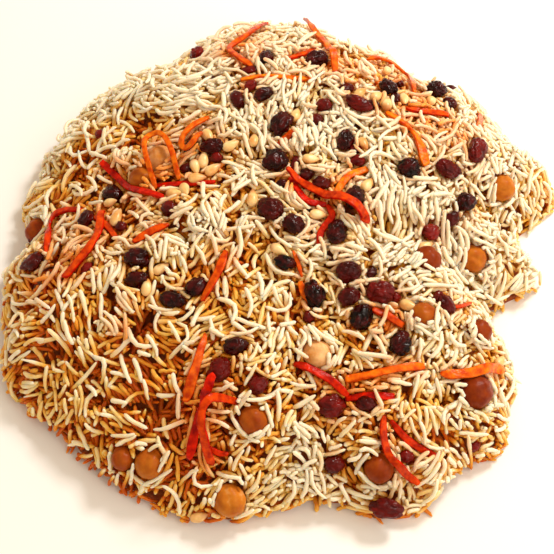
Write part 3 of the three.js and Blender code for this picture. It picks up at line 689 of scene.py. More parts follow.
# Pine nuts
def nut_points(ball, seed):
    """A drop that narrows to one end, a little uneven."""
    slim = NUT_WIDTH / 2 * (1 - 0.38 * ball[:, 0] - 0.10 * ball[:, 0] ** 2)
    sway = 0.25 * math.sin(seed) * ball[:, 0] ** 2
    return np.stack([ball[:, 0] * NUT_LENGTH / 2, ball[:, 1] * slim + sway, 0.88 * ball[:, 2] * slim], -1)


def make_nuts():
    gathered = Gathered()
    ball = unit_ball(8)
    rng = np.random.default_rng(SEED + 4)
    for number, (pixel, turn) in enumerate(PINE_NUTS):
        middle, along, up = axes_on_heap(pixel, turn, 1.6)
        along = (along + up * rng.uniform(-0.2, 0.2)).normalized()
        up = along.cross(up).cross(along).normalized()
        size = rng.uniform(0.9, 1.08)
        points = placed(nut_points(ball[0], number) * size, middle, along, up)
        browned = rng.uniform(0.2, 1.0) * np.clip((rng.choice([-1, 1]) * ball[0][:, 0] - 0.25) / 0.7, 0, 1)
        gathered.add(points, ball[1], browned=browned)
    return gathered


# Photo pixel of the middle and photo angle of the pointed end
PINE_NUTS = [
    ((209, 136), -60), ((231, 145), 20), ((254, 140), 80), ((204, 159), 80), ((196, 167), -75),
    ((214, 169), 35), ((198, 178), 10), ((186, 190), -65), ((175, 194), 0), ((253, 198), 85),
    ((112, 203), 15), ((118, 217), 60), ((162, 268), 30), ((147, 286), 85), ((386, 71), 80),
    ((360, 93), 25), ((376, 97), 30), ((386, 104), 80), ((403, 100), -80), ((363, 144), -65),
    ((296, 115), 70), ((311, 159), 0), ((318, 214), 0), ((424, 245), 30), ((279, 249), -30),
    ((367, 184), 50), ((409, 305), -20), ((200, 514), 10), ((497, 361), 60), ((430, 101), 60),
]


# Rice: grains are laid one by one on what is already there, lowest places first.
# By kind of topping: how far the rice banks up against it, and how high up its side grains may lie
BANKS = {
    "raisins": (0.6, 3.2),
    "chickpeas": (4.8, 7.0),
    "carrot_strips": (0.2, -9.0),
    "pine_nuts": (0.4, 1.2),
}
BANK_WIDTH = 3.0
EVENING = 3.0


class Bed:
    """Heights over the plan: what grains rest on, how high they may lie, and the toppings between."""

    def __init__(self, toppings, rng):
        core_top = heap_height - BED_DEPTH * steepness
        self.ground = np.where(inside, np.maximum(core_top, 0.0), 0.0)
        self.floor = self.ground.copy()
        self.bottom = np.full(plan_shape, np.inf)
        self.top = np.full(plan_shape, -np.inf)
        self.kind = np.full(plan_shape, -1)
        self.scan(toppings)
        self.target = heap_height + self.relief(rng)
        self.flow, self.combed = flow_of_rice(rng)
        self.crumbs = sum_of_patches(CRUMBS)
        limits = np.array([BANKS[kind][1] for kind in toppings] + [0.0])
        self.coverable = self.top < heap_height + limits[self.kind]

    def relief(self, rng):
        """Hills and hollows of the rice, with banks instead round the toppings."""
        hills = HILL_RISE * (2 * smooth_field(rng, HILL_PITCH) - 1)
        knolls = KNOLL_RISE * (2 * smooth_field(rng, KNOLL_PITCH) - 1)
        from_crevice = np.abs(2 * smooth_field(rng, CREVICE_PITCH) - 1)
        crevices = CREVICE_DEPTH * np.clip(1 - from_crevice / CREVICE_SHARE, 0, 1)
        window = soft_window(BANK_WIDTH)
        window /= window.sum()
        free = np.ones(plan_shape)
        banks = np.zeros(plan_shape)
        self.near = {}
        for number, (kind, (rise, _)) in enumerate(BANKS.items()):
            nearness = spread(spread((self.kind == number).astype(float), window, 0), window, 1)
            nearness = np.clip(2.5 * nearness, 0, 1)
            banks = np.maximum(banks, rise * nearness)
            free = np.minimum(free, 1 - nearness)
            self.near[kind] = nearness
        return (hills + knolls - crevices) * free + banks

    def scan(self, toppings):
        """The kind, lowest point and highest point of the toppings over each cell."""
        meshes = [shape for gathered in toppings.values() for shape in gathered.shapes]
        kinds = [k for k, gathered in enumerate(toppings.values()) for _ in gathered.shapes]
        tree, owners = tree_of(meshes)
        x, y = cell_centres()
        near = np.zeros(plan_shape, bool)
        for points, _ in meshes:
            low, high = points.min(0), points.max(0)
            rows, columns = cell_at(np.array([low[0], high[0]]), np.array([low[1], high[1]]))
            near[rows[0]:rows[1] + 1, columns[0]:columns[1] + 1] = True
        for row, column in zip(*np.nonzero(near)):
            spot = (x[row, column], y[row, column])
            above, _, face, _ = tree.ray_cast(Vector((*spot, 200)), Vector((0, 0, -1)))
            if above is not None:
                self.kind[row, column] = kinds[owners[face]]
                below = tree.ray_cast(Vector((*spot, -1)), Vector((0, 0, 1)))[0]
                self.top[row, column] = above.z
                self.bottom[row, column] = below.z

    def surface(self):
        """The ground evened out over a few grains."""
        window = soft_window(EVENING)
        free = (inside & (self.bottom == np.inf)).astype(float)
        total = spread(spread(free * (self.ground - heap_height), window, 1), window, 0)
        return heap_height + total / (spread(spread(free, window, 1), window, 0) + 1e-6)


# Where the grains lie side by side: photo pixel, radius in mm, photo angle
COMBED = [
    ((195, 100), 12, 3), ((165, 92), 9, -5), ((248, 118), 7, 95), ((297, 102), 8, 80),
    ((306, 145), 7, 105), ((248, 172), 8, -12), ((345, 225), 8, -35), ((392, 210), 9, 95),
    ((440, 235), 9, 85), ((150, 355), 9, -42), ((268, 478), 9, 35), ((492, 425), 9, -32),
    ((115, 412), 8, -25), ((70, 325), 7, 100), ((225, 285), 6, -70), ((500, 215), 8, 60),
    ((415, 268), 7, 10), ((355, 450), 7, -5), ((205, 245), 6, 60), ((30, 350), 8, 15),
]

# Where the grains are broken into crumbs: photo pixel, radius in mm, and the share added
CRUMBS = [
    ((130, 368), 7, 0.6), ((205, 388), 5, 0.6), ((415, 430), 8, 0.6), ((45, 372), 7, 0.5),
    ((385, 238), 6, 0.5), ((125, 322), 6, 0.6), ((165, 372), 4, 0.7), ((255, 128), 5, 0.4),
    ((195, 232), 6, 0.3), ((460, 335), 7, 0.5), ((95, 170), 6, 0.4), ((290, 265), 5, 0.5),
    ((440, 120), 6, 0.4), ((340, 350), 6, 0.4),
]


def flow_of_rice(rng):
    """The direction that the rice lies in over the plan, and how strictly it keeps to it."""
    angle = 2 * math.pi * smooth_field(rng, FLOW_PITCH)
    east, north = np.cos(2 * angle), np.sin(2 * angle)
    combed = np.zeros(plan_shape)
    for pixel, radius, turn in COMBED:
        middle, along, _ = axes_on_heap(pixel, turn, 0)
        share = bell_round(middle, radius)
        twice = 2 * math.atan2(along.y, along.x)
        east += COMB_PULL * share * math.cos(twice)
        north += COMB_PULL * share * math.sin(twice)
        combed += share
    return np.arctan2(north, east) / 2, np.clip(combed, 0, 1)


AXIS_STEPS = np.linspace(-0.94, 0.94, 9)
SIDE_STEPS = np.array([-0.66, -0.33, 0.0, 0.33, 0.66])
FINE_AXIS_STEPS = np.linspace(-1, 1, 27)
FINE_SIDE_STEPS = np.linspace(-0.8, 0.8, 7)
LEFT, RIGHT = np.meshgrid(np.arange(4), np.arange(5, 9), indexing="ij")
LEFT, RIGHT = LEFT.ravel(), RIGHT.ravel()


def grain_girth(steps):
    """The grain's radius along it, as a share of the largest."""
    return np.sqrt(np.clip(1 - np.abs(steps) ** 8, 0.0, 1.0)) * (1 - 0.12 * steps)


def plan_places(grain, steps, sides):
    """Plan coordinates of points along and across each grain."""
    reach = grain["length"] / 2 * grain["level"]
    forward = steps[None, :] * reach[:, None]
    sideways = grain["bow"][:, None] * (steps[None, :] ** 2 - 0.3)
    middle_x, middle_y, dx, dy, radius = (grain[k][:, None, None] for k in ("x", "y", "dx", "dy", "radius"))
    across = sideways[:, :, None] + sides[None, None, :] * radius
    forward = forward[:, :, None]
    return middle_x + forward * dx - across * dy, middle_y + forward * dy + across * dx


def thickness(grain, steps, sides):
    """How far the grain reaches over its axis at points along and across it."""
    girth = grain_girth(steps)[None, :, None] * np.sqrt(1 - sides ** 2)[None, None, :]
    return girth * grain["radius"][:, None, None] / grain["level"][:, None, None]


def axis_heights(grain, steps):
    return grain["height"][:, None] + grain["slope"][:, None] * steps


def spine_points(grain, steps):
    """Points along the middle line of each grain."""
    x, y = plan_places(grain, steps, np.array([0.0]))
    return np.stack([x[..., 0], y[..., 0], axis_heights(grain, steps)], -1)


def picked(grain, which):
    """The same values for some of the grains only."""
    return {k: v[which] for k, v in grain.items()}


def rest_line(support):
    """Middle height and slope, in height a step, of a rod that rests on the supports on both its sides."""
    t = AXIS_STEPS
    share = -t[LEFT] / (t[RIGHT] - t[LEFT])
    at_middle = support[:, LEFT] * (1 - share) + support[:, RIGHT] * share
    best = at_middle.argmax(1)
    rows = np.arange(len(support))
    slope = (support[rows, RIGHT[best]] - support[rows, LEFT[best]]) / (t[RIGHT[best]] - t[LEFT[best]])
    middle = at_middle[rows, best]
    held_inside = support[:, 4] > middle
    return np.where(held_inside, support[:, 4], middle), slope


def settle(grain, bed):
    """Lowers the grains onto the bed. Adds their height, slope, free space and whether they lie clear."""
    x, y = plan_places(grain, AXIS_STEPS, SIDE_STEPS)
    row, column = cell_at(x, y)
    thick = thickness(grain, AXIS_STEPS, SIDE_STEPS)
    clear = inside[row, column].mean((1, 2)) > INSIDE_SHARE
    ground, bottom, top = bed.ground[row, column], bed.bottom[row, column], bed.top[row, column]
    height, slope = rest_line((ground + thick).max(2))
    axis = (height[:, None] + slope[:, None] * AXIS_STEPS)[:, :, None]
    meets = (axis + thick > bottom - CLEARANCE) & (axis - thick < top + CLEARANCE)
    hit = meets.any((1, 2))
    over_height, over_slope = rest_line((np.maximum(ground, top) + thick).max(2))
    may_cover = (bed.coverable[row, column] | (top < 0)).all((1, 2))
    grain["height"] = np.where(hit, over_height, height)
    grain["slope"] = np.where(hit, over_slope, slope)
    axis = axis_heights(grain, AXIS_STEPS)
    row, column = row[..., 2], column[..., 2]
    heap = np.maximum(heap_height[row, column], 0)
    low_enough = (axis - heap < HIGHEST_GRAIN * steepness[row, column]).all(1)
    grain["clear"] = clear & (~hit | may_cover) & low_enough & in_box(grain)
    grain["room"] = np.maximum(axis[..., None] - thick - ground, -GRAIN_SINK).mean((1, 2))
    return grain


def in_box(grain):
    """Whether each grain lies within the CAD model's box."""
    low, high = np.array(cad_box) / MM
    places = spine_points(grain, np.array([-1.0, 0.0, 1.0]))
    margin = 1.3 * GRAIN_RADIUS
    within = (places > low + margin - [0, 0, margin]) & (places < high - margin)
    return within.all((1, 2))


def random_grains(rng, rows, columns, bed, stray, broken_share):
    """One size of grain tried at the given cells, along the flow of the rice with some straying."""
    count = len(rows)
    loose_share = 1 - 0.75 * bed.combed[rows, columns]
    angle = bed.flow[rows, columns] + stray * loose_share * rng.standard_normal(count)
    length = float(np.clip(rng.normal(GRAIN_LENGTH, GRAIN_LENGTH_SPREAD), *GRAIN_LENGTHS))
    crumbled = bed.crumbs[rows, columns].mean()
    if rng.random() < broken_share + crumbled:
        length = rng.uniform(2.6, 8.0 - 3.5 * min(crumbled, 0.6))
    bow = rng.normal(0, 1) * (3.0 if rng.random() < 0.25 else 1.0) * (length / GRAIN_LENGTH) ** 2
    dx, dy = np.cos(angle), np.sin(angle)
    climb = slope_x[rows, columns] * dx + slope_y[rows, columns] * dy
    return {
        "x": plan_low[0] + (columns + rng.random(count)) * CELL,
        "y": plan_low[1] + (rows + rng.random(count)) * CELL,
        "dx": dx,
        "dy": dy,
        "length": np.full(count, length),
        "radius": np.full(count, GRAIN_RADIUS * rng.uniform(0.85, 1.12)),
        "bow": np.full(count, bow),
        "level": 1 / np.sqrt(1 + climb ** 2),
        "climb": climb,
    }


def tilt(grain):
    """How much steeper or flatter each grain lies than the heap under it."""
    return np.abs(grain["slope"] / (grain["length"] / 2 * grain["level"]) - grain["climb"])


def fitting(grain, over, most_over, most_tilt):
    """Numbers of the grains that lie clear, low and flat enough."""
    return np.flatnonzero(grain["clear"] & (over < most_over) & (tilt(grain) < most_tilt))


def beside(rng, grain):
    """A few neighbours that lie almost parallel to a grain, as a bundle."""
    count = int(rng.integers(1, 6))
    found_by_settling = ("height", "slope", "clear", "room")
    copies = {k: np.repeat(v, count) for k, v in grain.items() if k not in found_by_settling}
    across = np.cumsum(rng.uniform(1.55, 2.0, count)) * rng.choice([-1, 1])
    along = rng.normal(0, 2.2, count)
    x = copies["x"] - across * copies["dy"] + along * copies["dx"]
    y = copies["y"] + across * copies["dx"] + along * copies["dy"]
    turn = rng.normal(0, 0.14, count)
    dx = copies["dx"] * np.cos(turn) - copies["dy"] * np.sin(turn)
    dy = copies["dx"] * np.sin(turn) + copies["dy"] * np.cos(turn)
    length = np.clip(copies["length"] * rng.uniform(0.85, 1.15, count), 5.0, 14.5)
    bow = copies["bow"] + rng.normal(0, 0.4, count)
    return {**copies, "x": x, "y": y, "dx": dx, "dy": dy, "length": length, "bow": bow}


def lay(grain, bed):
    """Raises the bed's ground to the top of a grain that has come to rest."""
    x, y = plan_places(grain, FINE_AXIS_STEPS, FINE_SIDE_STEPS)
    row, column = cell_at(x, y)
    axis = axis_heights(grain, FINE_AXIS_STEPS)[:, :, None]
    top = axis + thickness(grain, FINE_AXIS_STEPS, FINE_SIDE_STEPS)
    np.maximum.at(bed.ground, (row, column), top - GRAIN_SINK)


def fill_bed(bed, rng):
    """Lays grains until the rice is as high as the CAD heap all over."""
    laid = []
    for level, stray, most_tilt in ROUNDS:
        misses = 0
        low = np.empty(0)
        while misses < MOST_MISSES:
            if len(laid) % LOOK_AGAIN == 0 or misses % LOOK_AGAIN == LOOK_AGAIN - 1 or not len(low):
                low = np.flatnonzero(inside & (bed.ground < bed.target + level) & (bed.bottom == np.inf))
                if len(low) < FEWEST_CELLS:
                    break
            rows, columns = np.unravel_index(rng.choice(low, TRIES), plan_shape)
            grains = settle(random_grains(rng, rows, columns, bed, stray, BROKEN_SHARE), bed)
            over = grains["height"] + grains["radius"] - bed.target[rows, columns]
            fits = fitting(grains, over, level + LEVEL_SLACK, most_tilt)
            if not len(fits):
                misses += 1
                continue
            best = int(fits[np.argmin(grains["room"][fits])])
            misses = 0
            chosen = level_out(picked(grains, [best]), bed)
            if not chosen["clear"][0]:
                continue
            lay(chosen, bed)
            laid.append(chosen)
            if rng.random() < BUNDLE_SHARE:
                add_bundle(rng, chosen, bed, laid, level)
    for one in laid:
        one["loose"] = np.zeros(1)
    add_top_grains(bed, rng, laid)
    return showing({k: np.concatenate([g[k] for g in laid]) for k in laid[0]}, bed)


def showing(grain, bed):
    """The grains that aren't wholly buried under others."""
    x, y = plan_places(grain, AXIS_STEPS, np.array([-1.0, 0.0, 1.0]))
    row, column = cell_at(x, y)
    axis = axis_heights(grain, AXIS_STEPS)[..., None]
    cover = (bed.ground[row, column] - axis) / steepness[row, column]
    shows = (cover < HIDING_DEPTH).mean((1, 2)) > LEAST_SHOWING
    return picked(grain, shows)


def add_top_grains(bed, rng, laid):
    """Long pale grains that lie loosely over the others."""
    free = np.flatnonzero(inside & (bed.bottom == np.inf))
    added = 0
    while added < TOP_GRAINS:
        rows, columns = np.unravel_index(rng.choice(free, TOP_TRIES), plan_shape)
        grains = settle(random_grains(rng, rows, columns, bed, TOP_STRAY, TOP_BROKEN), bed)
        over = grains["height"] + grains["radius"] - heap_height[rows, columns]
        fits = fitting(grains, over, TOP_HEIGHT, TOP_TILT)
        if not len(fits):
            continue
        chosen = level_out(picked(grains, fits[:1]), bed)
        if chosen["clear"][0]:
            lay(chosen, bed)
            laid.append({**chosen, "loose": np.ones(1)})
            added += 1


def level_out(grain, bed):
    """Settles a grain again with its plan length shortened by its own slope."""
    reach = grain["length"] / 2 * grain["level"]
    grain["level"] = grain["level"] * (grain["length"] / 2) / np.hypot(reach, grain["slope"])
    return settle(grain, bed)


def add_bundle(rng, chosen, bed, laid, level):
    neighbours = beside(rng, chosen)
    for k in range(len(neighbours["x"])):
        one = settle(picked(neighbours, [k]), bed)
        row, column = cell_at(one["x"], one["y"])
        over = one["height"] + one["radius"] - bed.target[row, column]
        if one["clear"][0] and over[0] < level + BUNDLE_SLACK:
            lay(one, bed)
            laid.append(one)


RING_STEPS = np.array([-0.985, -0.86, -0.45, 0.0, 0.45, 0.86, 0.985])
GRAIN_SIDES = 6


def over_points(rings):
    """Each grain's values at its rings, repeated for all the points of its tube."""
    return np.concatenate([np.repeat(rings, GRAIN_SIDES, 1), rings[:, :1], rings[:, -1:]], 1).ravel()


def grain_meshes(grain, rng):
    """Points and faces of all the given grains as one tube each, and how far each point faces outward."""
    count = len(grain["x"])
    spine = spine_points(grain, RING_STEPS)
    spine[:, 2:-2] += rng.normal(0, 0.14, spine[:, 2:-2].shape)
    tangent = unit(np.gradient(spine, axis=1))
    up = np.broadcast_to(np.array([0.0, 0.0, 1.0]), spine.shape)
    side = unit(np.cross(tangent, up))
    up = np.cross(side, tangent)
    girth = grain_girth(RING_STEPS) * grain["radius"][:, None]
    girth = girth * rng.uniform(0.86, 1.1, girth.shape)
    angle = np.arange(GRAIN_SIDES) * 2 * math.pi / GRAIN_SIDES
    rolled = angle[None, None, :] + rng.uniform(0, 1, (count, 1, 1))
    ring = (side[:, :, None] * (np.cos(rolled) * girth[..., None])[..., None]
            + up[:, :, None] * (np.sin(rolled) * girth[..., None])[..., None] * 0.92)
    rings = (spine[:, :, None] + ring).reshape(count, -1, 3)
    tip = grain["radius"][:, None] * 0.15
    first = spine[:, 0] - tangent[:, 0] * tip
    last = spine[:, -1] + tangent[:, -1] * tip
    points = np.concatenate([rings, first[:, None], last[:, None]], 1)
    outward = unit(outward_at(grain["x"], grain["y"]))
    facing = ((side @ outward[..., None]) * np.cos(rolled) + (up @ outward[..., None]) * np.sin(rolled))
    facing = np.concatenate([facing.reshape(count, -1), np.zeros((count, 2))], 1)
    each = points.shape[1]
    faces = tube_faces(len(RING_STEPS), GRAIN_SIDES)
    faces = faces[None] + (np.arange(count) * each)[:, None, None]
    return points.reshape(-1, 3), faces.reshape(-1, 3), facing.ravel()


# The rice is palest where it lies on top and golden to brown under other grains, deeper in the bed and on
# its sides: painted light and shade, over tone that also differs at random from grain to grain and patch to
# patch
TOP_TONE = 0.9
PAINTED_COVER_SHADE = 0.12
PAINTED_DEPTH_SHADE = 0.065
PAINTED_SIDE_LIGHT = 0.04
PATCH_TONE = 0.32
GRAIN_TONE = 0.09
LOOSE_PAINTED_LIGHT = 0.05

# Paler and browner patches of rice, partly the rice's own tone and partly painted light and shade, the
# widest ones painting shade over the lower left and light over the upper right: photo pixel, radius in mm,
# and how much paler
TONE_AND_LIGHT_PATCHES = [
    ((195, 85), 13, 0.2), ((110, 105), 9, 0.12), ((288, 106), 13, 0.2), ((368, 122), 9, 0.18),
    ((402, 205), 16, 0.2), ((480, 245), 14, 0.14), ((440, 352), 10, 0.1), ((262, 470), 12, 0.08),
    ((250, 240), 10, 0.12), ((330, 262), 8, 0.1), ((112, 328), 8, 0.1), ((305, 440), 9, 0.12),
    ((148, 125), 12, -0.32), ((92, 152), 12, -0.3), ((70, 195), 10, -0.24), ((45, 345), 15, -0.3),
    ((100, 378), 13, -0.24), ((160, 420), 14, -0.34), ((125, 455), 13, -0.24), ((250, 372), 9, -0.2),
    ((455, 430), 12, -0.3), ((350, 450), 8, -0.2), ((215, 505), 12, -0.24), ((12, 300), 9, -0.3),
    ((20, 240), 10, -0.2), ((235, 290), 9, -0.2), ((300, 320), 9, -0.12), ((195, 232), 6, 0.3),
    ((150, 290), 12, -0.16), ((200, 195), 9, -0.2), ((400, 90), 10, -0.25), ((490, 370), 8, -0.25),
    ((70, 350), 45, -0.24), ((180, 430), 30, -0.16), ((430, 210), 45, 0.24), ((230, 90), 35, 0.2),
    ((362, 112), 5, 0.3), ((250, 170), 6, 0.25), ((270, 480), 6, 0.12),
]

# Rice stained by spice and carrot: photo pixel, radius in mm, and how strongly
STAINS = [
    ((375, 78), 14, 0.7), ((415, 112), 8, 0.6), ((450, 134), 8, 0.9), ((240, 50), 12, 0.6),
    ((190, 165), 14, 0.5), ((105, 215), 12, 0.5), ((47, 280), 8, 0.9), ((125, 325), 7, 0.6),
    ((330, 195), 9, 0.6), ((198, 425), 9, 0.5), ((345, 395), 8, 0.4), ((385, 320), 8, 0.4),
    ((135, 190), 10, 0.5), ((315, 65), 8, 0.4), ((80, 262), 8, 0.5), ((225, 255), 7, 0.4),
]


def sum_of_patches(patches):
    """A field over the plan with a soft rise at each patch."""
    field = np.zeros(plan_shape)
    for pixel, radius, rise in patches:
        field += rise * bell_round(on_heap(pixel), radius)
    return field


def ring_cells(grain):
    """Rows and columns of the cells under each grain's rings."""
    spine = spine_points(grain, RING_STEPS)
    return cell_at(spine[..., 0], spine[..., 1])


def rice_tones_and_painted_light(grain, bed, rng):
    """How pale each grain is at each of its rings, from 0 for deep brown to 1 for cream, with painted shade
    under other grains and deep in the bed, and painted light on the loose grains on top.
    """
    row, column = ring_cells(grain)
    axis = axis_heights(grain, RING_STEPS)
    depth = (heap_height[row, column] + 3.0 - axis) / steepness[row, column]
    cover = (bed.surface()[row, column] - axis) / steepness[row, column]
    patches = sum_of_patches(TONE_AND_LIGHT_PATCHES) + PATCH_TONE * (smooth_field(rng, 15) - 0.5)
    own = GRAIN_TONE * rng.standard_normal(len(row))[:, None]
    # Painted light: the loose grains that lie on top are paler
    loose = LOOSE_PAINTED_LIGHT * grain["loose"][:, None]
    # Painted shade: darker under other grains and deeper in the bed
    painted_shade = PAINTED_COVER_SHADE * np.clip(cover, -2, 3) + PAINTED_DEPTH_SHADE * np.clip(depth, 0, 9)
    covered = np.clip((cover + 1.5) / 3, 0, 1)
    # Painted light and shade: the patches weigh more on the grains that lie under others
    return TOP_TONE - painted_shade + patches[row, column] * (0.3 + covered) + own + loose


def rice_stains_and_shade(grain, bed, rng):
    """How strongly each grain is stained at each of its rings, from 0 to 1, where beside the raisins the
    darkening is partly painted contact shade.
    """
    row, column = ring_cells(grain)
    # Stained beside the carrot strips; beside the raisins the darkening is partly painted contact shade
    stain_and_shade_beside_toppings = 0.55 * bed.near["carrot_strips"] + 0.45 * bed.near["raisins"]
    stain_and_shade = (sum_of_patches(STAINS) + stain_and_shade_beside_toppings) * (0.35 + 1.3 * smooth_field(rng, 5))
    own = np.clip(rng.normal(0.8, 0.35, len(row)), 0, 1)[:, None]
    return np.clip(stain_and_shade[row, column] * own, 0, 1)


# Materials
def node_material(name):
    material = bpy.data.materials.new(name)
    material.use_nodes = True
    tree = material.node_tree
    return material, tree, tree.nodes["Principled BSDF"]


def add(tree, kind, settings=None, **inputs):
    node = tree.nodes.new(kind)
    for key, value in (settings or {}).items():
        setattr(node, key, value)
    for key, value in inputs.items():
        node.inputs[key].default_value = value
    return node


def feed(tree, socket, value):
    """Links another node's output to the socket, or sets the socket's own value."""
    if isinstance(value, bpy.types.NodeSocket):
        tree.links.new(value, socket)
    else:
        socket.default_value = value


def value_of(tree, name):
    return add(tree, "ShaderNodeAttribute", {"attribute_name": name}).outputs["Fac"]


def noise_of(tree, scale, detail=3.0):
    coordinates = tree.nodes.new("ShaderNodeTexCoord")
    texture = add(tree, "ShaderNodeTexNoise", Scale=scale, Detail=detail)
    tree.links.new(coordinates.outputs["Object"], texture.inputs["Vector"])
    return texture.outputs["Fac"]


def ramp_of(tree, factor, stops):
    ramp = tree.nodes.new("ShaderNodeValToRGB")
    elements = ramp.color_ramp.elements
    while len(elements) < len(stops):
        elements.new(0.5)
    for element, (place, colour) in zip(elements, stops):
        element.position = place
        element.color = (*colour, 1)
    tree.links.new(factor, ramp.inputs["Fac"])
    return ramp.outputs["Color"]


def mixed(tree, factor, first, second, blend="MIX"):
    node = add(tree, "ShaderNodeMix", {"data_type": "RGBA", "blend_type": blend})
    for number, value in ((0, factor), (6, first), (7, second)):
        feed(tree, node.inputs[number], value)
    return node.outputs[2]


def maths(tree, operation, first, second):
    node = add(tree, "ShaderNodeMath", {"operation": operation})
    feed(tree, node.inputs[0], first)
    feed(tree, node.inputs[1], second)
    return node.outputs[0]


def mottled_tone(tree, scale, mottle):
    """The piece's own tone with noise over it."""
    around_zero = maths(tree, "SUBTRACT", noise_of(tree, scale), 0.5)
    return maths(tree, "ADD", value_of(tree, "tone"), maths(tree, "MULTIPLY", around_zero, mottle))


def add_scattering(tree, shader, weight, scale, radius):
    set_shader(tree, shader, Subsurface_Weight=weight, Subsurface_Scale=scale, Subsurface_Radius=radius)


def add_bump(tree, shader, height, strength, distance):
    bump = add(tree, "ShaderNodeBump", Strength=strength, Distance=distance)
    tree.links.new(height, bump.inputs["Height"])
    tree.links.new(bump.outputs["Normal"], shader.inputs["Normal"])


def set_shader(tree, shader, **values):
    for key, value in values.items():
        feed(tree, shader.inputs[key.replace("_", " ")], value)


RICE_STOPS = [
    (0.0, (0.60, 0.12, 0.003)), (0.25, (0.80, 0.30, 0.016)), (0.5, (0.90, 0.48, 0.08)),
    (0.75, (0.94, 0.66, 0.31)), (1.0, (0.97, 0.80, 0.61)),
]
# Orange for stains, and for the painted contact shade beside the raisins
STAIN_AND_SHADE_COLOUR = (0.88, 0.38, 0.08, 1)


def rice_material(name, mottle, roughness):
    """Cooked rice: waxy and half clear, from brown to cream with its tone and its painted light and shade,
    mottled along the grain.
    """
    material, tree, shader = node_material(name)
    plain = ramp_of(tree, mottled_tone(tree, 420.0, mottle), RICE_STOPS)
    stained_and_shaded = mixed(tree, value_of(tree, "stain_and_shade"), plain, STAIN_AND_SHADE_COLOUR, "MULTIPLY")
    set_shader(tree, shader, Base_Color=stained_and_shaded, Roughness=roughness, Specular_IOR_Level=0.25)
    add_scattering(tree, shader, 1.0, 0.0018, (1.0, 0.8, 0.6))
    add_bump(tree, shader, noise_of(tree, 900.0), 0.2, 0.0003)
    return material


def shaded_core_material():
    material, tree, shader = node_material("rice_core")
    # Painted shade: deep red-brown like rice in shade, seen in the gaps between grains
    colour = ramp_of(tree, noise_of(tree, 300.0), [(0.3, (0.26, 0.04, 0.003)), (0.7, (0.54, 0.13, 0.01))])
    set_shader(tree, shader, Base_Color=colour, Roughness=0.6)
    add_bump(tree, shader, noise_of(tree, 500.0), 0.6, 0.001)
    return material


def raisin_material():
    material, tree, shader = node_material("raisin")
    dark_stops = [(0.44, (0.002, 0.0002, 0.0002)), (0.64, (0.055, 0.001, 0.001))]
    red_stops = [(0.3, (0.08, 0.002, 0.002)), (0.75, (0.30, 0.009, 0.005))]
    skin = ramp_of(tree, noise_of(tree, 260.0), dark_stops)
    red = ramp_of(tree, noise_of(tree, 200.0), red_stops)
    colour = mixed(tree, value_of(tree, "redness"), skin, red)
    set_shader(tree, shader, Base_Color=colour, Roughness=0.1, IOR=1.27)
    add_bump(tree, shader, noise_of(tree, 560.0, 2.0), 0.6, 0.001)
    return material


def carrot_material():
    material, tree, shader = node_material("carrot")
    orange_stops = [(0.34, (0.70, 0.07, 0.001)), (0.66, (0.98, 0.29, 0.008))]
    red_stops = [(0.34, (0.30, 0.001, 0.0003)), (0.66, (0.74, 0.016, 0.0005))]
    orange = ramp_of(tree, noise_of(tree, 330.0), orange_stops)
    red = ramp_of(tree, noise_of(tree, 330.0), red_stops)
    colour = mixed(tree, value_of(tree, "redness"), orange, red)
    set_shader(tree, shader, Base_Color=colour, Roughness=0.2, Specular_IOR_Level=0.1)
    add_scattering(tree, shader, 0.06, 0.001, (1.0, 0.3, 0.08))
    add_bump(tree, shader, noise_of(tree, 700.0), 0.5, 0.0007)
    return material


def chickpea_material():
    material, tree, shader = node_material("chickpea")
    stops = [(0.0, (0.85, 0.50, 0.22)), (0.25, (0.56, 0.18, 0.014)), (0.5, (0.40, 0.09, 0.006)),
             (0.75, (0.28, 0.04, 0.003)), (1.0, (0.16, 0.014, 0.001))]
    skin = ramp_of(tree, mottled_tone(tree, 190.0, 0.7), stops)
    set_shader(tree, shader, Base_Color=skin, Roughness=0.35, Specular_IOR_Level=0.1)
    add_scattering(tree, shader, 0.2, 0.002, (1.0, 0.5, 0.2))
    add_bump(tree, shader, noise_of(tree, 700.0), 0.3, 0.0004)
    return material


def nut_material():
    material, tree, shader = node_material("pine_nut")
    stops = [(0.3, (0.72, 0.32, 0.07)), (0.48, (0.88, 0.54, 0.20)), (0.68, (0.95, 0.72, 0.38))]
    plain = ramp_of(tree, noise_of(tree, 160.0), stops)
    colour = mixed(tree, value_of(tree, "browned"), plain, (0.40, 0.09, 0.01, 1))
    set_shader(tree, shader, Base_Color=colour, Roughness=0.33)
    add_scattering(tree, shader, 0.3, 0.002, (1.0, 0.6, 0.3))
    add_bump(tree, shader, noise_of(tree, 500.0), 0.15, 0.0004)
    return material
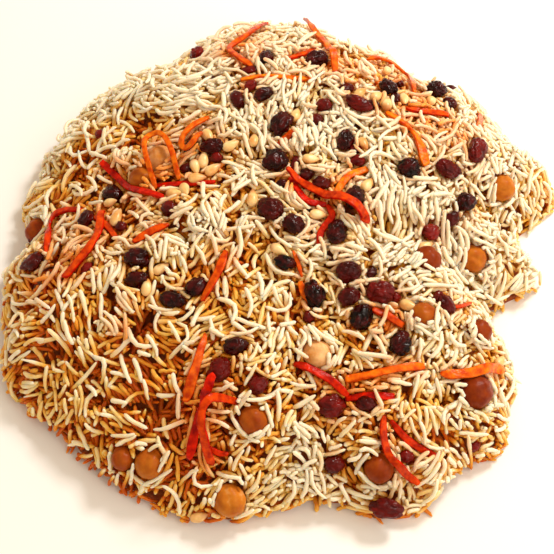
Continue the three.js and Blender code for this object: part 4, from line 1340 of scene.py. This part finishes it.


# The core under the loose grains: the bed's floor with rounded relief, closed underneath, coloured deep
# red-brown like rice in shade: painted shade that shows in the gaps
def make_core(bed, material):
    x, y = cell_centres()
    centre = np.array([x[inside].mean(), y[inside].mean()])
    spokes, rings = 160, 44
    rim_inset, sink, foot_height = 4.0, 0.5, 0.05
    march = np.arange(20, 200, CELL)
    share = (np.arange(1, rings + 1) / rings)[:, None]
    lines = []
    for k in range(spokes):
        angle = 2 * math.pi * k / spokes
        outward = [math.cos(angle), math.sin(angle)]
        way = centre + march[:, None] * outward
        row, column = cell_at(way[:, 0], way[:, 1])
        edge = march[np.argmin(inside[row, column])] - rim_inset
        lines.append(centre + share * edge * outward)
    grid = np.stack(lines, 1)
    row, column = cell_at(grid[..., 0], grid[..., 1])
    height = np.maximum(bed.floor[row, column] - sink, 0.3)
    top = np.concatenate([grid, height[..., None]], 2)
    foot = np.concatenate([grid[-1], np.full((spokes, 1), foot_height)], 1)
    row, column = cell_at(centre[:1], centre[1:])
    middle = [[*centre, float(bed.floor[row, column][0])], [*centre, foot_height]]
    points = np.concatenate([top.reshape(-1, 3), foot, middle])
    faces = tube_faces(rings + 1, spokes)[:, ::-1]
    return mesh_object("rice_core", points, faces, material, {})


# The scene
make_camera()
make_studio()
toppings = {
    "raisins": make_raisins(),
    "chickpeas": make_chickpeas(),
    "carrot_strips": make_carrots(),
    "pine_nuts": make_nuts(),
}
raisins = toppings["raisins"].build("raisins", raisin_material())
chickpeas = toppings["chickpeas"].build("chickpeas", chickpea_material())
carrots = toppings["carrot_strips"].build("carrot_strips", carrot_material())
nuts = toppings["pine_nuts"].build("pine_nuts", nut_material())

rng = np.random.default_rng(SEED)
bed = Bed(toppings, rng)
grains = fill_bed(bed, rng)
tones_and_painted_light = rice_tones_and_painted_light(grains, bed, rng)
stains_and_shade = rice_stains_and_shade(grains, bed, rng)

# The kinds of rice, as many grains in each, from the brownest to the palest by tone with its painted light
# and shade: name, mottling, roughness
KINDS = (("rice_brown", 0.34, 0.5), ("rice_amber", 0.38, 0.5), ("rice_golden", 0.4, 0.44),
         ("rice_cream", 0.34, 0.44), ("rice_white", 0.34, 0.42))
kind_of = np.argsort(np.argsort(tones_and_painted_light.mean(1))) * len(KINDS) // len(tones_and_painted_light)
for kind, (name, mottle, roughness) in enumerate(KINDS):
    chosen = kind_of == kind
    points, faces, facing = grain_meshes(picked(grains, chosen), rng)
    # Painted light: the side of each grain that faces up out of the heap is paler
    values = {"tone": over_points(tones_and_painted_light[chosen]) + PAINTED_SIDE_LIGHT * facing, "stain_and_shade": over_points(stains_and_shade[chosen])}
    mesh_object(name, points, faces, rice_material(name, mottle, roughness), values)
core = make_core(bed, shaded_core_material())
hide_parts("rice_heap")
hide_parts(*kind_nodes("raisin"))
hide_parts(*kind_nodes("chickpea"))
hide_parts(*kind_nodes("carrot_strip"))
